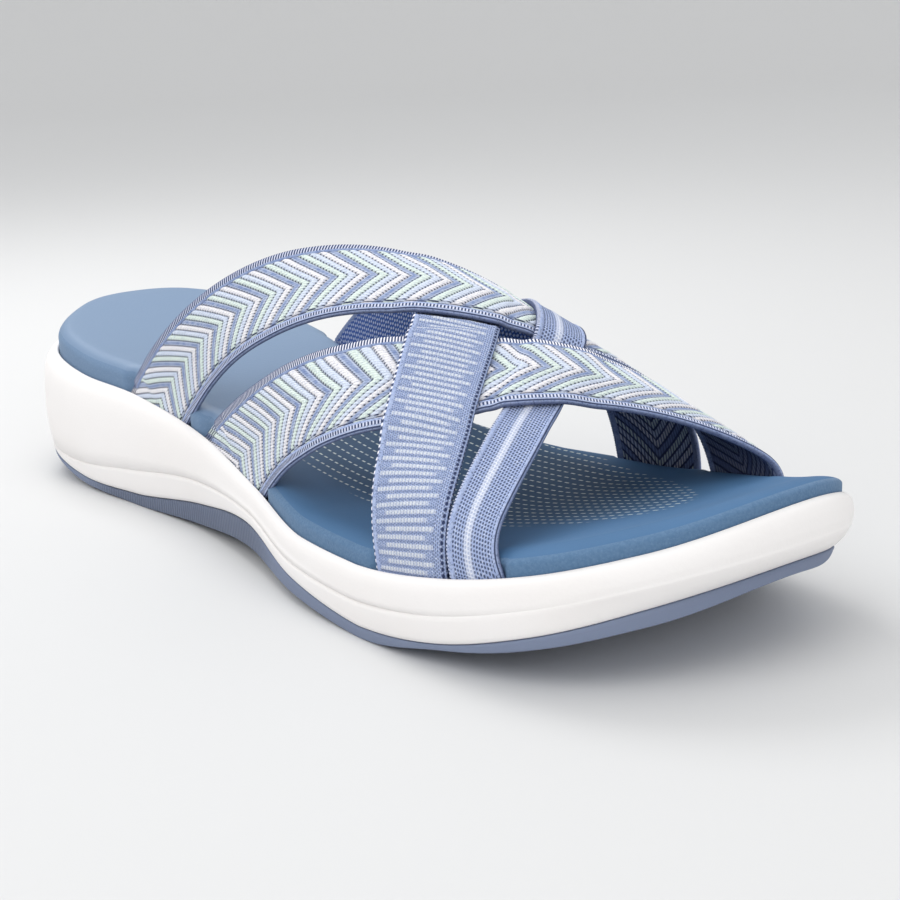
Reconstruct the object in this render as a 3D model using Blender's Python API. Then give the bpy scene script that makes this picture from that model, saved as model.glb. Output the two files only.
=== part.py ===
"""A right foot's slip-on comfort sandal: outsole, midsole, footbed and an upper of four woven straps.

Metres, +Z up. The toe points along +X, the little toe's side is -Y and the big toe's side +Y.
"""
import bmesh
import bpy
import numpy as np
from mathutils import Matrix

# Lengths and heights of the sole
FOOTBED_LENGTH = 0.254
BALL_WIDTH = 0.086
HEEL_HEIGHT = 0.0372
FOREFOOT_HEIGHT = 0.0148
TOE_SPRING = 0.018
WAIST_ARCH = 0.0025

# Side wall of the sole
HEEL_BULGE = 0.0046
FOREFOOT_BULGE = 0.0020
FOOT_FLARE = 0.0018
OUTSOLE_THICKNESS = 0.0022
LATERAL_WAIST_BAND = 0.0063
MEDIAL_WAIST_BAND = 0.0080
TREAD_ROUND = 0.0007
GROOVE_HEIGHT = 0.0010
GROOVE_DEPTH = 0.0007

# Seat that the footbed drops into, and the footbed
RECESS_DEPTH = 0.0024
HEEL_RISE = 0.0070
TOE_RISE = 0.0040
HEEL_ROUND = 0.0036
TOE_ROUND = 0.0062
HEEL_DISH = 0.0016
FOREFOOT_DISH = 0.0008

# Straps: elastic webbing on the form of a foot
WEBBING_THICKNESS = 0.0016
WEAVE_LIFT = 0.0006
INSTEP_HEIGHT = 0.0560
STRAP_FLARE = 0.0010
INSTEP_SKEW = 0.074
INSTEP_FULLNESS = 0.93
STRAP_GAP = 0.0006

# Fit between pieces
CLEARANCE = 0.0003

# How finely the shapes are cut
STATIONS = 54
CAP_ROWS = 4
STRAP_STEPS = 40
STRAP_ROWS = 2

# The sole from heel to toe. Each value is a share: the half width and the drift of the middle line of half
# BALL_WIDTH, the heel lift of the drop from HEEL_HEIGHT to FOREFOOT_HEIGHT, the toe lift and the tread of
# TOE_SPRING, the arch of WAIST_ARCH, the band of the waist's band, the groove of the wall's height, the
# bulge of the step from FOREFOOT_BULGE to HEEL_BULGE, and the foot of FOOT_FLARE.
SOLE_COLUMNS = ("station", "half_width", "drift", "heel_lift", "toe_lift", "tread",
                "arch", "band", "groove", "bulge", "foot")
SOLE_ROWS = (
    (0.00, 0.000, 0.030, 1.000, 0.000, 0.060, 0.00, 0.00, 0.07, 1.00, 0.90),
    (0.03, 0.455, 0.045, 0.987, 0.000, 0.015, 0.00, 0.05, 0.08, 1.00, 0.95),
    (0.09, 0.748, 0.026, 0.873, 0.000, 0.000, 0.00, 0.22, 0.11, 1.00, 1.00),
    (0.18, 0.799, 0.006, 0.734, 0.000, 0.000, 0.00, 0.45, 0.15, 0.85, 0.95),
    (0.28, 0.736, -0.017, 0.656, 0.000, 0.000, 0.10, 0.65, 0.23, 0.60, 0.95),
    (0.40, 0.673, -0.056, 0.435, 0.000, 0.000, 0.80, 0.95, 0.35, 0.25, 1.10),
    (0.52, 0.736, -0.076, 0.148, 0.000, 0.000, 0.90, 1.00, 0.34, 0.05, 1.55),
    (0.63, 0.909, -0.057, 0.000, 0.000, 0.000, 0.00, 0.15, 0.39, 0.00, 1.60),
    (0.73, 1.000, -0.008, 0.000, 0.005, 0.000, 0.00, 0.00, 0.45, 0.00, 1.30),
    (0.82, 0.978, -0.006, 0.000, 0.177, 0.150, 0.00, 0.06, 0.46, 0.00, 1.00),
    (0.90, 0.859, 0.021, 0.000, 0.406, 0.410, 0.00, 0.16, 0.49, 0.00, 0.60),
    (0.96, 0.628, 0.111, 0.000, 0.635, 0.730, 0.00, 0.20, 0.50, 0.00, -0.40),
    (1.00, 0.000, 0.246, 0.000, 0.962, 1.060, 0.00, 0.15, 0.47, 0.00, -2.00),
)

# The midsole's side wall at shares of its height above the outsole: how much it takes there of the foot's
# stand-off and how much of the bulge's.
WALL_COLUMNS = ("height", "foot", "bulge")
WALL_ROWS = (
    (0.00, 1.00, 0.00),
    (0.20, 0.78, 0.22),
    (0.38, 0.48, 0.52),
    (0.55, 0.10, 0.90),
    (0.72, 0.00, 1.00),
    (0.87, 0.00, 0.87),
    (0.96, 0.00, 0.58),
    (1.00, 0.00, 0.20),
)
WALL_STEPS = (0.30, 0.58, 0.80, 0.93, 1.00)

# Height of the straps' form above the sole's seam: shares of FOOTBED_LENGTH and of INSTEP_HEIGHT.
INSTEP_COLUMNS = ("station", "height")
INSTEP_ROWS = (
    (0.264, 1.147),
    (0.382, 1.039),
    (0.500, 0.980),
    (0.618, 0.876),
    (0.736, 0.644),
    (0.854, 0.331),
    (0.940, 0.055),
)
# Shares of a strap's way over the foot: where its flare ends, and where its slot in the footbed ends
FLARE_SHARE = 0.20
SLOT_SHARE = 0.10

# Where each strap's heel and toe edges leave the sole, on the little toe's side and on the big toe's side, as
# shares of FOOTBED_LENGTH from the heel's back. On the way over the foot each edge bows toward the toe by its
# bow, lean and shoulder, which are the first three waves of that way.
STRAP_COLUMNS = ("outer_heel", "outer_toe", "inner_heel", "inner_toe", "bow_heel", "bow_toe",
                 "lean_heel", "lean_toe", "shoulder_heel", "shoulder_toe")
STRAPS = {
    "rear": (0.264, 0.372, 0.686, 0.777, 0.089, 0.119, -0.002, -0.006, 0.004, -0.002),
    "front": (0.403, 0.540, 0.797, 0.886, 0.119, 0.109, 0.016, 0.017, 0.000, 0.009),
    "ribbed": (0.749, 0.829, 0.260, 0.372, 0.109, 0.105, -0.006, -0.002, 0.009, 0.011),
    "striped": (0.833, 0.879, 0.378, 0.445, 0.125, 0.120, -0.004, -0.007, 0.002, 0.002),
}
# The weave: at each crossing the first strap lies over the second.
CROSSINGS = (("rear", "ribbed"), ("ribbed", "front"), ("front", "striped"), ("striped", "rear"))
CROSSING_REACH = 0.10

SLATE = (0.125, 0.180, 0.275, 1.0)
CHALK = (0.860, 0.845, 0.820, 1.0)
DENIM = (0.135, 0.260, 0.420, 1.0)
PERIWINKLE = (0.330, 0.440, 0.680, 1.0)


def column(rows, columns, name):
    return np.array([row[columns.index(name)] for row in rows], float)


def through(knots, values, at):
    """A smooth curve through a table's rows, read at the given places."""
    slopes = np.gradient(values, knots, edge_order=2)
    at = np.clip(at, knots[0], knots[-1])
    i = np.clip(np.searchsorted(knots, at, side="right") - 1, 0, len(knots) - 2)
    step = knots[i + 1] - knots[i]
    s = (at - knots[i]) / step
    rise = 3 * s**2 - 2 * s**3
    return (values[i] * (1 - rise) + values[i + 1] * rise
            + step * (slopes[i] * (s - 2 * s**2 + s**3) + slopes[i + 1] * (s**3 - s**2)))


def turn_of(station):
    """The angle on a half circle at a share of the length, which spaces the cuts closer at the ends."""
    return np.arccos(np.clip(1 - 2 * np.asarray(station, float), -1, 1))


def sole(name, station):
    knots = turn_of(column(SOLE_ROWS, SOLE_COLUMNS, "station"))
    return through(knots, column(SOLE_ROWS, SOLE_COLUMNS, name), turn_of(station))


def station_at(x):
    return np.clip(x / FOOTBED_LENGTH + 0.5, 0, 1)


def seam_height(station):
    """Height of the line where the footbed meets the midsole's rim."""
    return (FOREFOOT_HEIGHT + np.maximum(sole("heel_lift", station), 0) * (HEEL_HEIGHT - FOREFOOT_HEIGHT)
            + np.maximum(sole("toe_lift", station), 0) * TOE_SPRING)


def tread_height(station):
    return (np.maximum(sole("tread", station), 0) * TOE_SPRING
            + np.maximum(sole("arch", station), 0) * WAIST_ARCH)


def band_top(station, side):
    """Height of the outsole's upper edge; side runs from -1, the little toe's, to +1."""
    waist = LATERAL_WAIST_BAND + (MEDIAL_WAIST_BAND - LATERAL_WAIST_BAND) * (side + 1) / 2
    share = np.maximum(sole("band", station), 0)
    return tread_height(station) + OUTSOLE_THICKNESS + share * (waist - OUTSOLE_THICKNESS)


def bulge(station):
    return FOREFOOT_BULGE + np.clip(sole("bulge", station), 0, 1) * (HEEL_BULGE - FOREFOOT_BULGE)


def half_width(station):
    return np.maximum(sole("half_width", station), 0) * BALL_WIDTH / 2


def drift(station):
    return sole("drift", station) * BALL_WIDTH / 2


def outline(out):
    """The seam line's loop moved outward by out: x, y, station and side, from the heel by the little toe."""
    turns = np.linspace(0, np.pi, STATIONS + 1)
    turn = np.concatenate([turns, turns[-2:0:-1]])
    side = np.concatenate([-np.ones(STATIONS + 1), np.ones(STATIONS - 1)])
    side[[0, STATIONS]] = 0
    station = (1 - np.cos(turn)) / 2
    x = (station - 0.5) * FOOTBED_LENGTH
    y = drift(station) + side * half_width(station)
    along_x = np.roll(x, -1) - np.roll(x, 1)
    along_y = np.roll(y, -1) - np.roll(y, 1)
    length = np.hypot(along_x, along_y)
    return x + out * along_y / length, y - out * along_x / length, station, side


def ring(out, height, moved=0.0):
    """A closed loop of points at out from the seam line; height gives z from station and side.

    moved is how far the station is that of the moved point rather than that of its place on the seam line.
    """
    x, y, station, side = outline(out(outline(0)[2]) if callable(out) else out)
    station = station + (station_at(x) - station) * moved
    return np.stack([x, y, height(station, side)], axis=1)


def cap_points(loop, sag):
    """Rows across a loop between its two sides, each sagging in the middle by a share of its width."""
    count = len(loop)
    rows = []
    for i in range(1, STATIONS):
        a = loop[i]
        b = loop[count - i]
        for k in range(1, CAP_ROWS):
            v = k / CAP_ROWS
            point = a + (b - a) * v
            point[2] -= sag(i / STATIONS) * 4 * v * (1 - v)
            rows.append(point)
    return rows


def no_sag(_):
    return 0.0


def add_cap(faces, first, base, upward):
    """Faces across a loop whose points start at first, through rows of cap points that start at base."""
    count = 2 * STATIONS
    inner = CAP_ROWS - 1

    def index(i, k):
        if i == 0:
            return first
        if i == STATIONS:
            return first + STATIONS
        if k == 0:
            return first + i
        if k == CAP_ROWS:
            return first + count - i
        return base + (i - 1) * inner + k - 1

    for i in range(STATIONS):
        for k in range(CAP_ROWS):
            face = [index(i, k), index(i + 1, k), index(i + 1, k + 1), index(i, k + 1)]
            face = [v for n, v in enumerate(face) if v not in face[:n]]
            faces.append(face if upward else face[::-1])


def solid_from_rings(name, rings, bottom_sag, top_sag, colour, roughness):
    """A closed solid whose wall runs through the rings and whose ends are closed with soft caps."""
    count = 2 * STATIONS
    points = [p for loop in rings for p in loop]
    faces = []
    for level in range(len(rings) - 1):
        for i in range(count):
            j = (i + 1) % count
            low = level * count
            high = low + count
            faces.append([low + i, low + j, high + j, high + i])
    base = len(points)
    points += cap_points(rings[0], bottom_sag)
    add_cap(faces, 0, base, False)
    base = len(points)
    points += cap_points(rings[-1], top_sag)
    add_cap(faces, (len(rings) - 1) * count, base, True)
    return new_object(name, points, faces, colour, roughness)


def new_object(name, points, faces, colour, roughness):
    mesh = bpy.data.meshes.new(name)
    mesh.from_pydata([tuple(map(float, p)) for p in points], [], faces)
    mesh.validate()
    piece = bpy.data.objects.new(name, mesh)
    bpy.context.collection.objects.link(piece)
    face_outward(mesh)
    mesh.shade_smooth()
    mesh.set_sharp_from_angle(angle=np.radians(40))
    if colour is not None:
        mesh.materials.append(finish(name, colour, roughness))
    return piece


def face_outward(mesh):
    work = bmesh.new()
    work.from_mesh(mesh)
    bmesh.ops.triangulate(work, faces=work.faces)
    bmesh.ops.recalc_face_normals(work, faces=work.faces)
    work.to_mesh(mesh)
    work.free()


def finish(name, colour, roughness):
    material = bpy.data.materials.new(name)
    material.use_nodes = True
    shader = material.node_tree.nodes["Principled BSDF"]
    shader.inputs["Base Color"].default_value = colour
    shader.inputs["Roughness"].default_value = roughness
    shader.inputs["Metallic"].default_value = 0.0
    return material


def foot_offset(station):
    """How far the outsole's upper edge and the midsole's foot stand outside the seam line."""
    return sole("foot", station) * FOOT_FLARE


def make_outsole():
    rings = [
        ring(lambda s: foot_offset(s) - TREAD_ROUND, lambda s, side: tread_height(s)),
        ring(foot_offset, lambda s, side: tread_height(s) + TREAD_ROUND),
        ring(foot_offset, band_top),
    ]
    return solid_from_rings("outsole", rings, no_sag, no_sag, SLATE, 0.62)


def wall_offset(share, station):
    heights = column(WALL_ROWS, WALL_COLUMNS, "height")
    foot = through(heights, column(WALL_ROWS, WALL_COLUMNS, "foot"), share)
    swell = through(heights, column(WALL_ROWS, WALL_COLUMNS, "bulge"), share)
    return foot * foot_offset(station) + swell * bulge(station)


def midsole_wall(share_of, inset=0.0, lift=0.0):
    """A ring of the midsole's side wall at a share of its height that may change along the sole."""
    def height(station, side):
        foot = band_top(station, side) + CLEARANCE
        return foot + share_of(station) * (seam_height(station) - foot) + lift
    return ring(lambda s: wall_offset(share_of(s), s) - inset, height)


def groove_share(station):
    return sole("groove", station)


def make_midsole():
    rings = [midsole_wall(lambda s: np.zeros_like(s))]
    rings.append(midsole_wall(groove_share, lift=-GROOVE_HEIGHT / 2))
    rings.append(midsole_wall(groove_share, inset=GROOVE_DEPTH))
    rings.append(midsole_wall(groove_share, lift=GROOVE_HEIGHT / 2))
    for step in WALL_STEPS:
        rings.append(midsole_wall(lambda s, k=step: groove_share(s) + (1 - groove_share(s)) * k))
    rings.append(ring(0, lambda s, side: seam_height(s)))
    rings.append(ring(0, lambda s, side: seam_height(s) - RECESS_DEPTH))
    return solid_from_rings("midsole", rings, no_sag, no_sag, CHALK, 0.70)


def footbed_rise(station):
    return HEEL_RISE + (TOE_RISE - HEEL_RISE) * station


def footbed_round(station):
    return HEEL_ROUND + (TOE_ROUND - HEEL_ROUND) * station


def dish(station):
    return (HEEL_DISH + (FOREFOOT_DISH - HEEL_DISH) * station) * np.sin(np.pi * station)


def make_insole():
    def shoulder(angle):
        """The rounded upper edge, a quarter turn from the side band to the top."""
        return ring(lambda s: -CLEARANCE - footbed_round(s) * (1 - np.cos(angle)),
                    lambda s, side: seam_height(s) + footbed_rise(s) * (0.45 + 0.55 * np.sin(angle)),
                    moved=0.5)

    rings = [
        ring(-CLEARANCE, lambda s, side: seam_height(s) - RECESS_DEPTH + CLEARANCE),
        shoulder(0.0),
        shoulder(np.radians(30)),
        shoulder(np.radians(60)),
        shoulder(np.radians(90)),
    ]
    return solid_from_rings("insole", rings, no_sag, dish, DENIM, 0.8)


def ease(t):
    t = np.clip(t, 0, 1)
    return t * t * (3 - 2 * t)


def tuck_line():
    """Offset of a strap's middle from the seam line where it goes down beside the footbed."""
    return -(CLEARANCE + WEBBING_THICKNESS / 2)


def instep(x):
    stations = column(INSTEP_ROWS, INSTEP_COLUMNS, "station")
    heights = column(INSTEP_ROWS, INSTEP_COLUMNS, "height")
    return through(stations, heights, x / FOOTBED_LENGTH + 0.5) * INSTEP_HEIGHT


def over_foot(x, way):
    """The surface that the straps follow; way runs from 0 at the little toe's seam to 1 at the big toe's."""
    station = station_at(x)
    edge = np.minimum(way, 1 - way)
    out = tuck_line() + (STRAP_FLARE - tuck_line()) * ease(edge / FLARE_SHARE)
    angle = np.pi * way
    y = drift(station) - (half_width(station) + out) * np.cos(angle)
    y = y + INSTEP_SKEW * half_width(station) * np.sin(angle) ** 2
    z = seam_height(station) + instep(x) * np.maximum(np.sin(angle), 0) ** INSTEP_FULLNESS
    return np.stack([x, y, z], axis=-1)


def strap_value(name, key):
    return STRAPS[name][STRAP_COLUMNS.index(key)]


def strap_edges(name, way):
    """x of a strap's heel edge and toe edge on the way over the foot."""
    edges = []
    for end in ("heel", "toe"):
        start = strap_value(name, "outer_" + end)
        stop = strap_value(name, "inner_" + end)
        wave = (strap_value(name, "bow_" + end) * np.sin(np.pi * way)
                + strap_value(name, "lean_" + end) * np.sin(2 * np.pi * way)
                + strap_value(name, "shoulder_" + end) * np.sin(3 * np.pi * way))
        edges.append((start + (stop - start) * way + wave - 0.5) * FOOTBED_LENGTH)
    if name == "striped":
        edges[0] = np.maximum(edges[0], strap_edges("ribbed", way)[1] + STRAP_GAP)
    return edges


def crossing_ways(over, under):
    """The ways over the foot at which the middle lines of two straps cross."""
    way = np.linspace(0.05, 0.95, 181)
    apart = np.mean(strap_edges(over, way), axis=0) - np.mean(strap_edges(under, way), axis=0)
    i = np.flatnonzero(np.sign(apart[:-1]) != np.sign(apart[1:]))[0]
    return float(way[i] + (way[i + 1] - way[i]) * apart[i] / (apart[i] - apart[i + 1]))


def weave_height(name, way):
    """How far a strap rides above (+) or below (-) the middle of the weave, eased between its crossings."""
    marks = []
    for over, under in CROSSINGS:
        if name in (over, under):
            marks.append((crossing_ways(over, under), WEAVE_LIFT if name == over else -WEAVE_LIFT))
    marks.sort()
    height = np.zeros_like(way)
    middle = (marks[0][0] + marks[1][0]) / 2
    for place, lift in marks:
        first = place < middle
        if first:
            near = ease((way + CROSSING_REACH - place) / CROSSING_REACH)
            far = ease((middle - way) / (middle - place))
        else:
            near = ease((way - middle) / (place - middle))
            far = ease((place + 2 * CROSSING_REACH - way) / CROSSING_REACH)
        height = height + lift * np.minimum(near, far)
    return height


def strap_grid(name, spare=0.0):
    """Points over a strap from seam to seam, row by row across its width, and their outward directions."""
    way = np.linspace(0, 1, STRAP_STEPS + 1)
    heel_edge, toe_edge = strap_edges(name, way)
    heel_edge = heel_edge - spare
    toe_edge = toe_edge + spare
    lift = weave_height(name, way)
    grid = []
    normals = []
    small = 1e-4
    for k in range(STRAP_ROWS + 1):
        x = heel_edge + (toe_edge - heel_edge) * k / STRAP_ROWS
        point = over_foot(x, way)
        along_way = over_foot(x, np.clip(way + small, 0, 1)) - over_foot(x, np.clip(way - small, 0, 1))
        along_x = over_foot(x + small, way) - over_foot(x - small, way)
        normal = np.cross(along_x, along_way)
        normal /= np.linalg.norm(normal, axis=1)[:, None]
        point = point + normal * lift[:, None]
        grid.append(point)
        normals.append(normal)
    return np.stack(grid, axis=1), np.stack(normals, axis=1)


def strap_solid(name, label, inward, outward, tuck, spare=0.0, way_limit=None, end=None):
    """A strap of webbing between two depths; with way_limit only the stretch at one end of it."""
    grid, normals = strap_grid(name, spare)
    flat = normals[[0, -1]].copy()
    flat[:, :, 2] = 0
    flat /= np.linalg.norm(flat, axis=2)[:, :, None]
    normals[[0, -1]] = flat
    down = grid[[0, -1]].copy()
    down[:, :, 2] -= tuck
    grid = np.concatenate([down[:1], grid, down[1:]])
    normals = np.concatenate([flat[:1], normals, flat[1:]])
    if way_limit is not None:
        count = int(np.ceil(way_limit * STRAP_STEPS)) + 2
        keep = slice(0, count) if end == 0 else slice(len(grid) - count, None)
        grid = grid[keep]
        normals = normals[keep]
    upper_side = grid + normals * outward
    lower_side = grid - normals * inward
    rows, across = grid.shape[:2]
    points = [p for p in upper_side.reshape(-1, 3)] + [p for p in lower_side.reshape(-1, 3)]
    below = rows * across
    faces = []
    for i in range(rows - 1):
        for k in range(across - 1):
            a = i * across + k
            b = a + across
            faces.append([a, b, b + 1, a + 1])
            faces.append([below + a, below + a + 1, below + b + 1, below + b])
        for a in (i * across, (i + 1) * across - 1):
            b = a + across
            faces.append([a, below + a, below + b, b])
    for i in (0, rows - 1):
        for k in range(across - 1):
            a = i * across + k
            faces.append([a, a + 1, below + a + 1, below + a])
    return new_object(label, points, faces, None, None)


def as_guide(piece):
    piece.hide_render = True
    piece.display_type = "WIRE"
    return piece


def boolean(piece, other, operation):
    modifier = piece.modifiers.new(operation.lower() + "_" + other.name, "BOOLEAN")
    modifier.operation = operation
    modifier.solver = "EXACT"
    modifier.object = other


def make_upper():
    half = WEBBING_THICKNESS / 2
    tuck = RECESS_DEPTH - CLEARANCE
    names = list(STRAPS)
    upper = strap_solid(names[0], "upper", half, half, tuck)
    upper.data.materials.append(finish("upper", PERIWINKLE, 0.85))
    for name in names[1:]:
        boolean(upper, as_guide(strap_solid(name, "strap_" + name, half, half, tuck)), "UNION")
    return upper


def cut_strap_slots(insole):
    """Slots in the footbed's side where the straps go down between it and the rim."""
    half = WEBBING_THICKNESS / 2
    reach = HEEL_BULGE
    for name in STRAPS:
        for end in (0, 1):
            label = "slot_" + name + "_" + ("outer" if end == 0 else "inner")
            slot = strap_solid(name, label, half + CLEARANCE, reach, RECESS_DEPTH + CLEARANCE,
                               spare=CLEARANCE, way_limit=SLOT_SHARE, end=end)
            boolean(insole, as_guide(slot), "DIFFERENCE")


def stand_on_origin(pieces):
    """Puts the middle of the whole shoe's box over the origin, with its lowest flat on z = 0."""
    bpy.context.view_layer.update()
    corners = []
    depsgraph = bpy.context.evaluated_depsgraph_get()
    for piece in pieces:
        mesh = piece.evaluated_get(depsgraph).to_mesh()
        corners += [v.co.copy() for v in mesh.vertices]
    corners = np.array(corners)
    low = corners.min(axis=0)
    high = corners.max(axis=0)
    move = Matrix.Translation((-(low[0] + high[0]) / 2, -(low[1] + high[1]) / 2, -low[2]))
    for piece in bpy.data.objects:
        piece.matrix_world = move @ piece.matrix_world


def main():
    for old in list(bpy.data.objects):
        bpy.data.objects.remove(old, do_unlink=True)
    outsole = make_outsole()
    midsole = make_midsole()
    insole = make_insole()
    upper = make_upper()
    cut_strap_slots(insole)
    stand_on_origin([outsole, midsole, insole, upper])


main()
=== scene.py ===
"""Dresses a slip-on comfort sandal over its solid frame: rubber outsole, foam midsole, soft footbed and four
woven straps that pass over and under each other, with a pale studio stage and a camera.

Metres, +Z up. The toe points along +X, the little toe's side is -Y and the big toe's side +Y.
"""

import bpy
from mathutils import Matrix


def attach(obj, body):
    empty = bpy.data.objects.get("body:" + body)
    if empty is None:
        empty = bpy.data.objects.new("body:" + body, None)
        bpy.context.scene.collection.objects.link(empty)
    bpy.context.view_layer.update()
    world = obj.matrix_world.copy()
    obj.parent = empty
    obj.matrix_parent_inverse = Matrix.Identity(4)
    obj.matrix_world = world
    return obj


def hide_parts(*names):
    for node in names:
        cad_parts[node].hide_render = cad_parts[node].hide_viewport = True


bl_info = {
    "name": "Comfort Sandal",
    "version": (1, 0, 0),
    "blender": (4, 5, 0),
    "location": "3D View > Sidebar > Sandal",
    "description": "Builds the visible pieces of a strappy comfort sandal over its solid frame",
    "category": "Object",
}

import bmesh
import bpy
import numpy as np
from bpy.props import FloatProperty, FloatVectorProperty, PointerProperty
from mathutils import Matrix, Vector

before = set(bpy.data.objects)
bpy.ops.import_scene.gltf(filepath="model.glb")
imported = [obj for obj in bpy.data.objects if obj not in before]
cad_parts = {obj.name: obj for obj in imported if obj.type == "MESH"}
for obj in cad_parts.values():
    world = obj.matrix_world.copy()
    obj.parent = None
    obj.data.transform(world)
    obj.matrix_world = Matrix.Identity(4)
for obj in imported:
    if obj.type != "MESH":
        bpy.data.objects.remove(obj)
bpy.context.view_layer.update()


def table(names, *rows):
    """A table's columns by name."""
    return dict(zip(names.split(), np.array(rows).T))


# The sole from heel to toe, as shares of the sizes: the half width and the drift of the middle line of half the
# ball's width, the heel lift of the drop from heel to forefoot, the toe lift and the tread of the toe spring, the
# arch, the waist's band of rubber, the groove's share of the wall, the bulge, and the foot's stand-off.
SOLE = table(
    "station half_width drift heel_lift toe_lift tread arch band groove bulge foot",
    (0.00, 0.000, 0.030, 1.000, 0.000, 0.300, 0.00, 0.14, 0.02, 1.00, 1.80),
    (0.03, 0.455, 0.045, 0.987, 0.000, 0.290, 0.00, 0.13, 0.02, 1.00, 1.90),
    (0.09, 0.748, 0.026, 0.873, 0.000, 0.210, 0.00, 0.08, 0.05, 1.00, 2.00),
    (0.18, 0.799, 0.006, 0.734, 0.000, 0.060, 0.00, -0.12, 0.16, 0.85, 1.40),
    (0.28, 0.736, -0.017, 0.656, 0.000, 0.000, 0.00, 0.18, 0.26, 0.60, 1.00),
    (0.40, 0.673, -0.056, 0.435, 0.000, 0.000, 0.40, 0.72, 0.35, 0.25, 1.10),
    (0.52, 0.736, -0.076, 0.148, 0.000, 0.000, 1.00, 0.80, 0.36, 0.05, 1.55),
    (0.63, 0.909, -0.057, 0.000, 0.000, 0.000, 0.48, 0.24, 0.39, 0.00, 1.35),
    (0.73, 1.000, -0.008, 0.000, 0.005, 0.000, 0.00, 0.02, 0.45, 0.00, 0.95),
    (0.82, 0.978, -0.006, 0.000, 0.177, 0.105, 0.00, 0.20, 0.46, 0.00, 0.75),
    (0.90, 0.859, 0.021, 0.000, 0.406, 0.335, 0.00, 0.50, 0.49, 0.00, 0.60),
    (0.96, 0.628, 0.111, 0.000, 0.660, 0.655, 0.00, 0.34, 0.50, 0.00, -0.40),
    (1.00, 0.000, 0.246, 0.000, 0.962, 0.890, 0.00, 0.03, 0.47, 0.00, -2.20),
)
# The foam's side wall at shares of its height: how much of the foot's stand-off and of the bulge it takes.
WALL = table(
    "height foot bulge",
    (0.00, 1.00, 0.00),
    (0.20, 0.78, 0.36),
    (0.38, 0.48, 0.70),
    (0.55, 0.10, 0.97),
    (0.72, 0.00, 1.00),
    (0.87, 0.00, 0.84),
    (0.96, 0.00, 0.55),
    (1.00, 0.00, 0.20),
)
# Height of the straps' form above the sole's seam: shares of the footbed's length and of the instep's height.
INSTEP = table(
    "station height",
    (0.264, 1.147),
    (0.382, 1.039),
    (0.500, 0.980),
    (0.618, 0.876),
    (0.736, 0.644),
    (0.854, 0.331),
    (0.940, 0.055),
)
# Each strap's heel edge and toe edge, as shares of the footbed's length: where it leaves the sole on the little
# toe's side and on the big toe's, and how far it swings on its way over the foot, in one, two and three waves.
STRAPS = {
    "rear": ((0.264, 0.686, 0.089, -0.002, 0.004), (0.372, 0.777, 0.119, -0.006, -0.002)),
    "front": ((0.403, 0.797, 0.119, 0.016, 0.000), (0.540, 0.886, 0.109, 0.017, 0.009)),
    "ribbed": ((0.749, 0.260, 0.109, -0.006, 0.009), (0.829, 0.372, 0.105, -0.002, 0.011)),
    "striped": ((0.833, 0.378, 0.125, -0.004, 0.002), (0.879, 0.445, 0.120, -0.007, 0.002)),
}
# The weave: the first strap of each pair rises over the second, which dips, by these shares of the weave's lift.
CROSSINGS = (("rear", "ribbed", 0.6, 3.4), ("ribbed", "front", 1.3, 0.5), ("front", "striped", 1.0, 1.0),
             ("striped", "rear", 1.8, 0.4))
# How far before a strap's heel edge and beyond its toe edge the straps that cross it start to rise or dip.
WEAVE_RAMPS = {"rear": (0.0420, 0.0034), "front": (0.0034, 0.0090), "ribbed": (0.0090, 0.0034),
               "striped": (0.0034, 0.0090)}

# A wide strap's field of cords ends at these shares of its half width, on the heel's and on the toe's side, and that
# half width in the map, which is in centimetres.
CORD_ENDS = (-0.80, 0.76)
CORD_HALF_WIDTH = 1.19
# How far the cords fall back along the strap for each step away from its middle, and how much further on the heel's
# side than on the toe's, from one share of the strap's length to the next. The ribbed strap's rows lean likewise.
CORD_SLANT = 1.0
CORD_SHEAR = {"rear": ((0.0, 0.42), (0.40, 0.34), (0.65, 0.24), (1.0, 0.15)),
              "front": ((0.0, 0.42), (0.27, 0.42), (0.43, -0.40), (1.0, -0.40))}
RIB_SHEAR = ((0.0, 0.0), (0.10, -0.15), (0.20, -0.28), (0.30, -0.19), (0.42, -0.03), (0.55, 0.0), (1.0, 0.0))
NO_SHEAR = ((0.0, 0.0), (1.0, 0.0))
# One raised cord or row, one tooth of thread and the foam's groove in profile: share of the width and of the height.
CORD_PROFILE = ((0.00, 0.00), (0.12, 0.58), (0.34, 0.97), (0.62, 1.00), (0.86, 0.62))
TOOTH_PROFILE = ((0.00, 0.15), (0.25, 0.85), (0.50, 1.00), (0.75, 0.60))
GROOVE_PROFILE = ((-0.50, 0.00), (-0.30, 0.50), (-0.08, 1.00), (0.12, 1.00), (0.24, 0.35), (0.34, 0.00))
# Sections of the straps' bound edges, from the outer face round to the inner one: millimetres in from the edge,
# height in halves of the cloth's thickness, and share of the tooth.
TEETH_SECTION = (
    (2.5, 1.00, 0.0), (2.3, 1.30, 0.6), (1.4, 1.40, 1.0), (0.6, 1.35, 1.0), (0.2, 1.10, 1.0), (-0.05, 0.60, 1.0),
    (-0.15, 0.00, 1.0), (-0.05, -0.60, 1.0), (0.2, -1.10, 1.0), (0.8, -1.25, 0.6), (1.8, -1.00, 0.0),
)
PIPING_SECTION = (
    (2.4, 1.00, 0.0), (2.2, 1.25, 0.8), (1.5, 1.35, 1.0), (0.78, 1.20, 0.6), (0.62, 1.02, 0.0), (0.52, 1.20, 0.0),
    (0.34, 1.40, 0.0), (0.14, 1.25, 0.0), (0.0, 0.85, 0.0), (-0.06, 0.10, 0.0), (0.0, -0.70, 0.0), (0.25, -1.15, 0.0),
    (0.6, -1.20, 0.0), (1.3, -1.00, 0.0),
)

# Cuts along each side of a loop around the sole, and across the caps that close it.
LOOP_STEPS = 230
CAP_STEPS = 40
# The share of the sole's length over which its two sides run into each other at heel and toe.
TIP = 0.06
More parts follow.
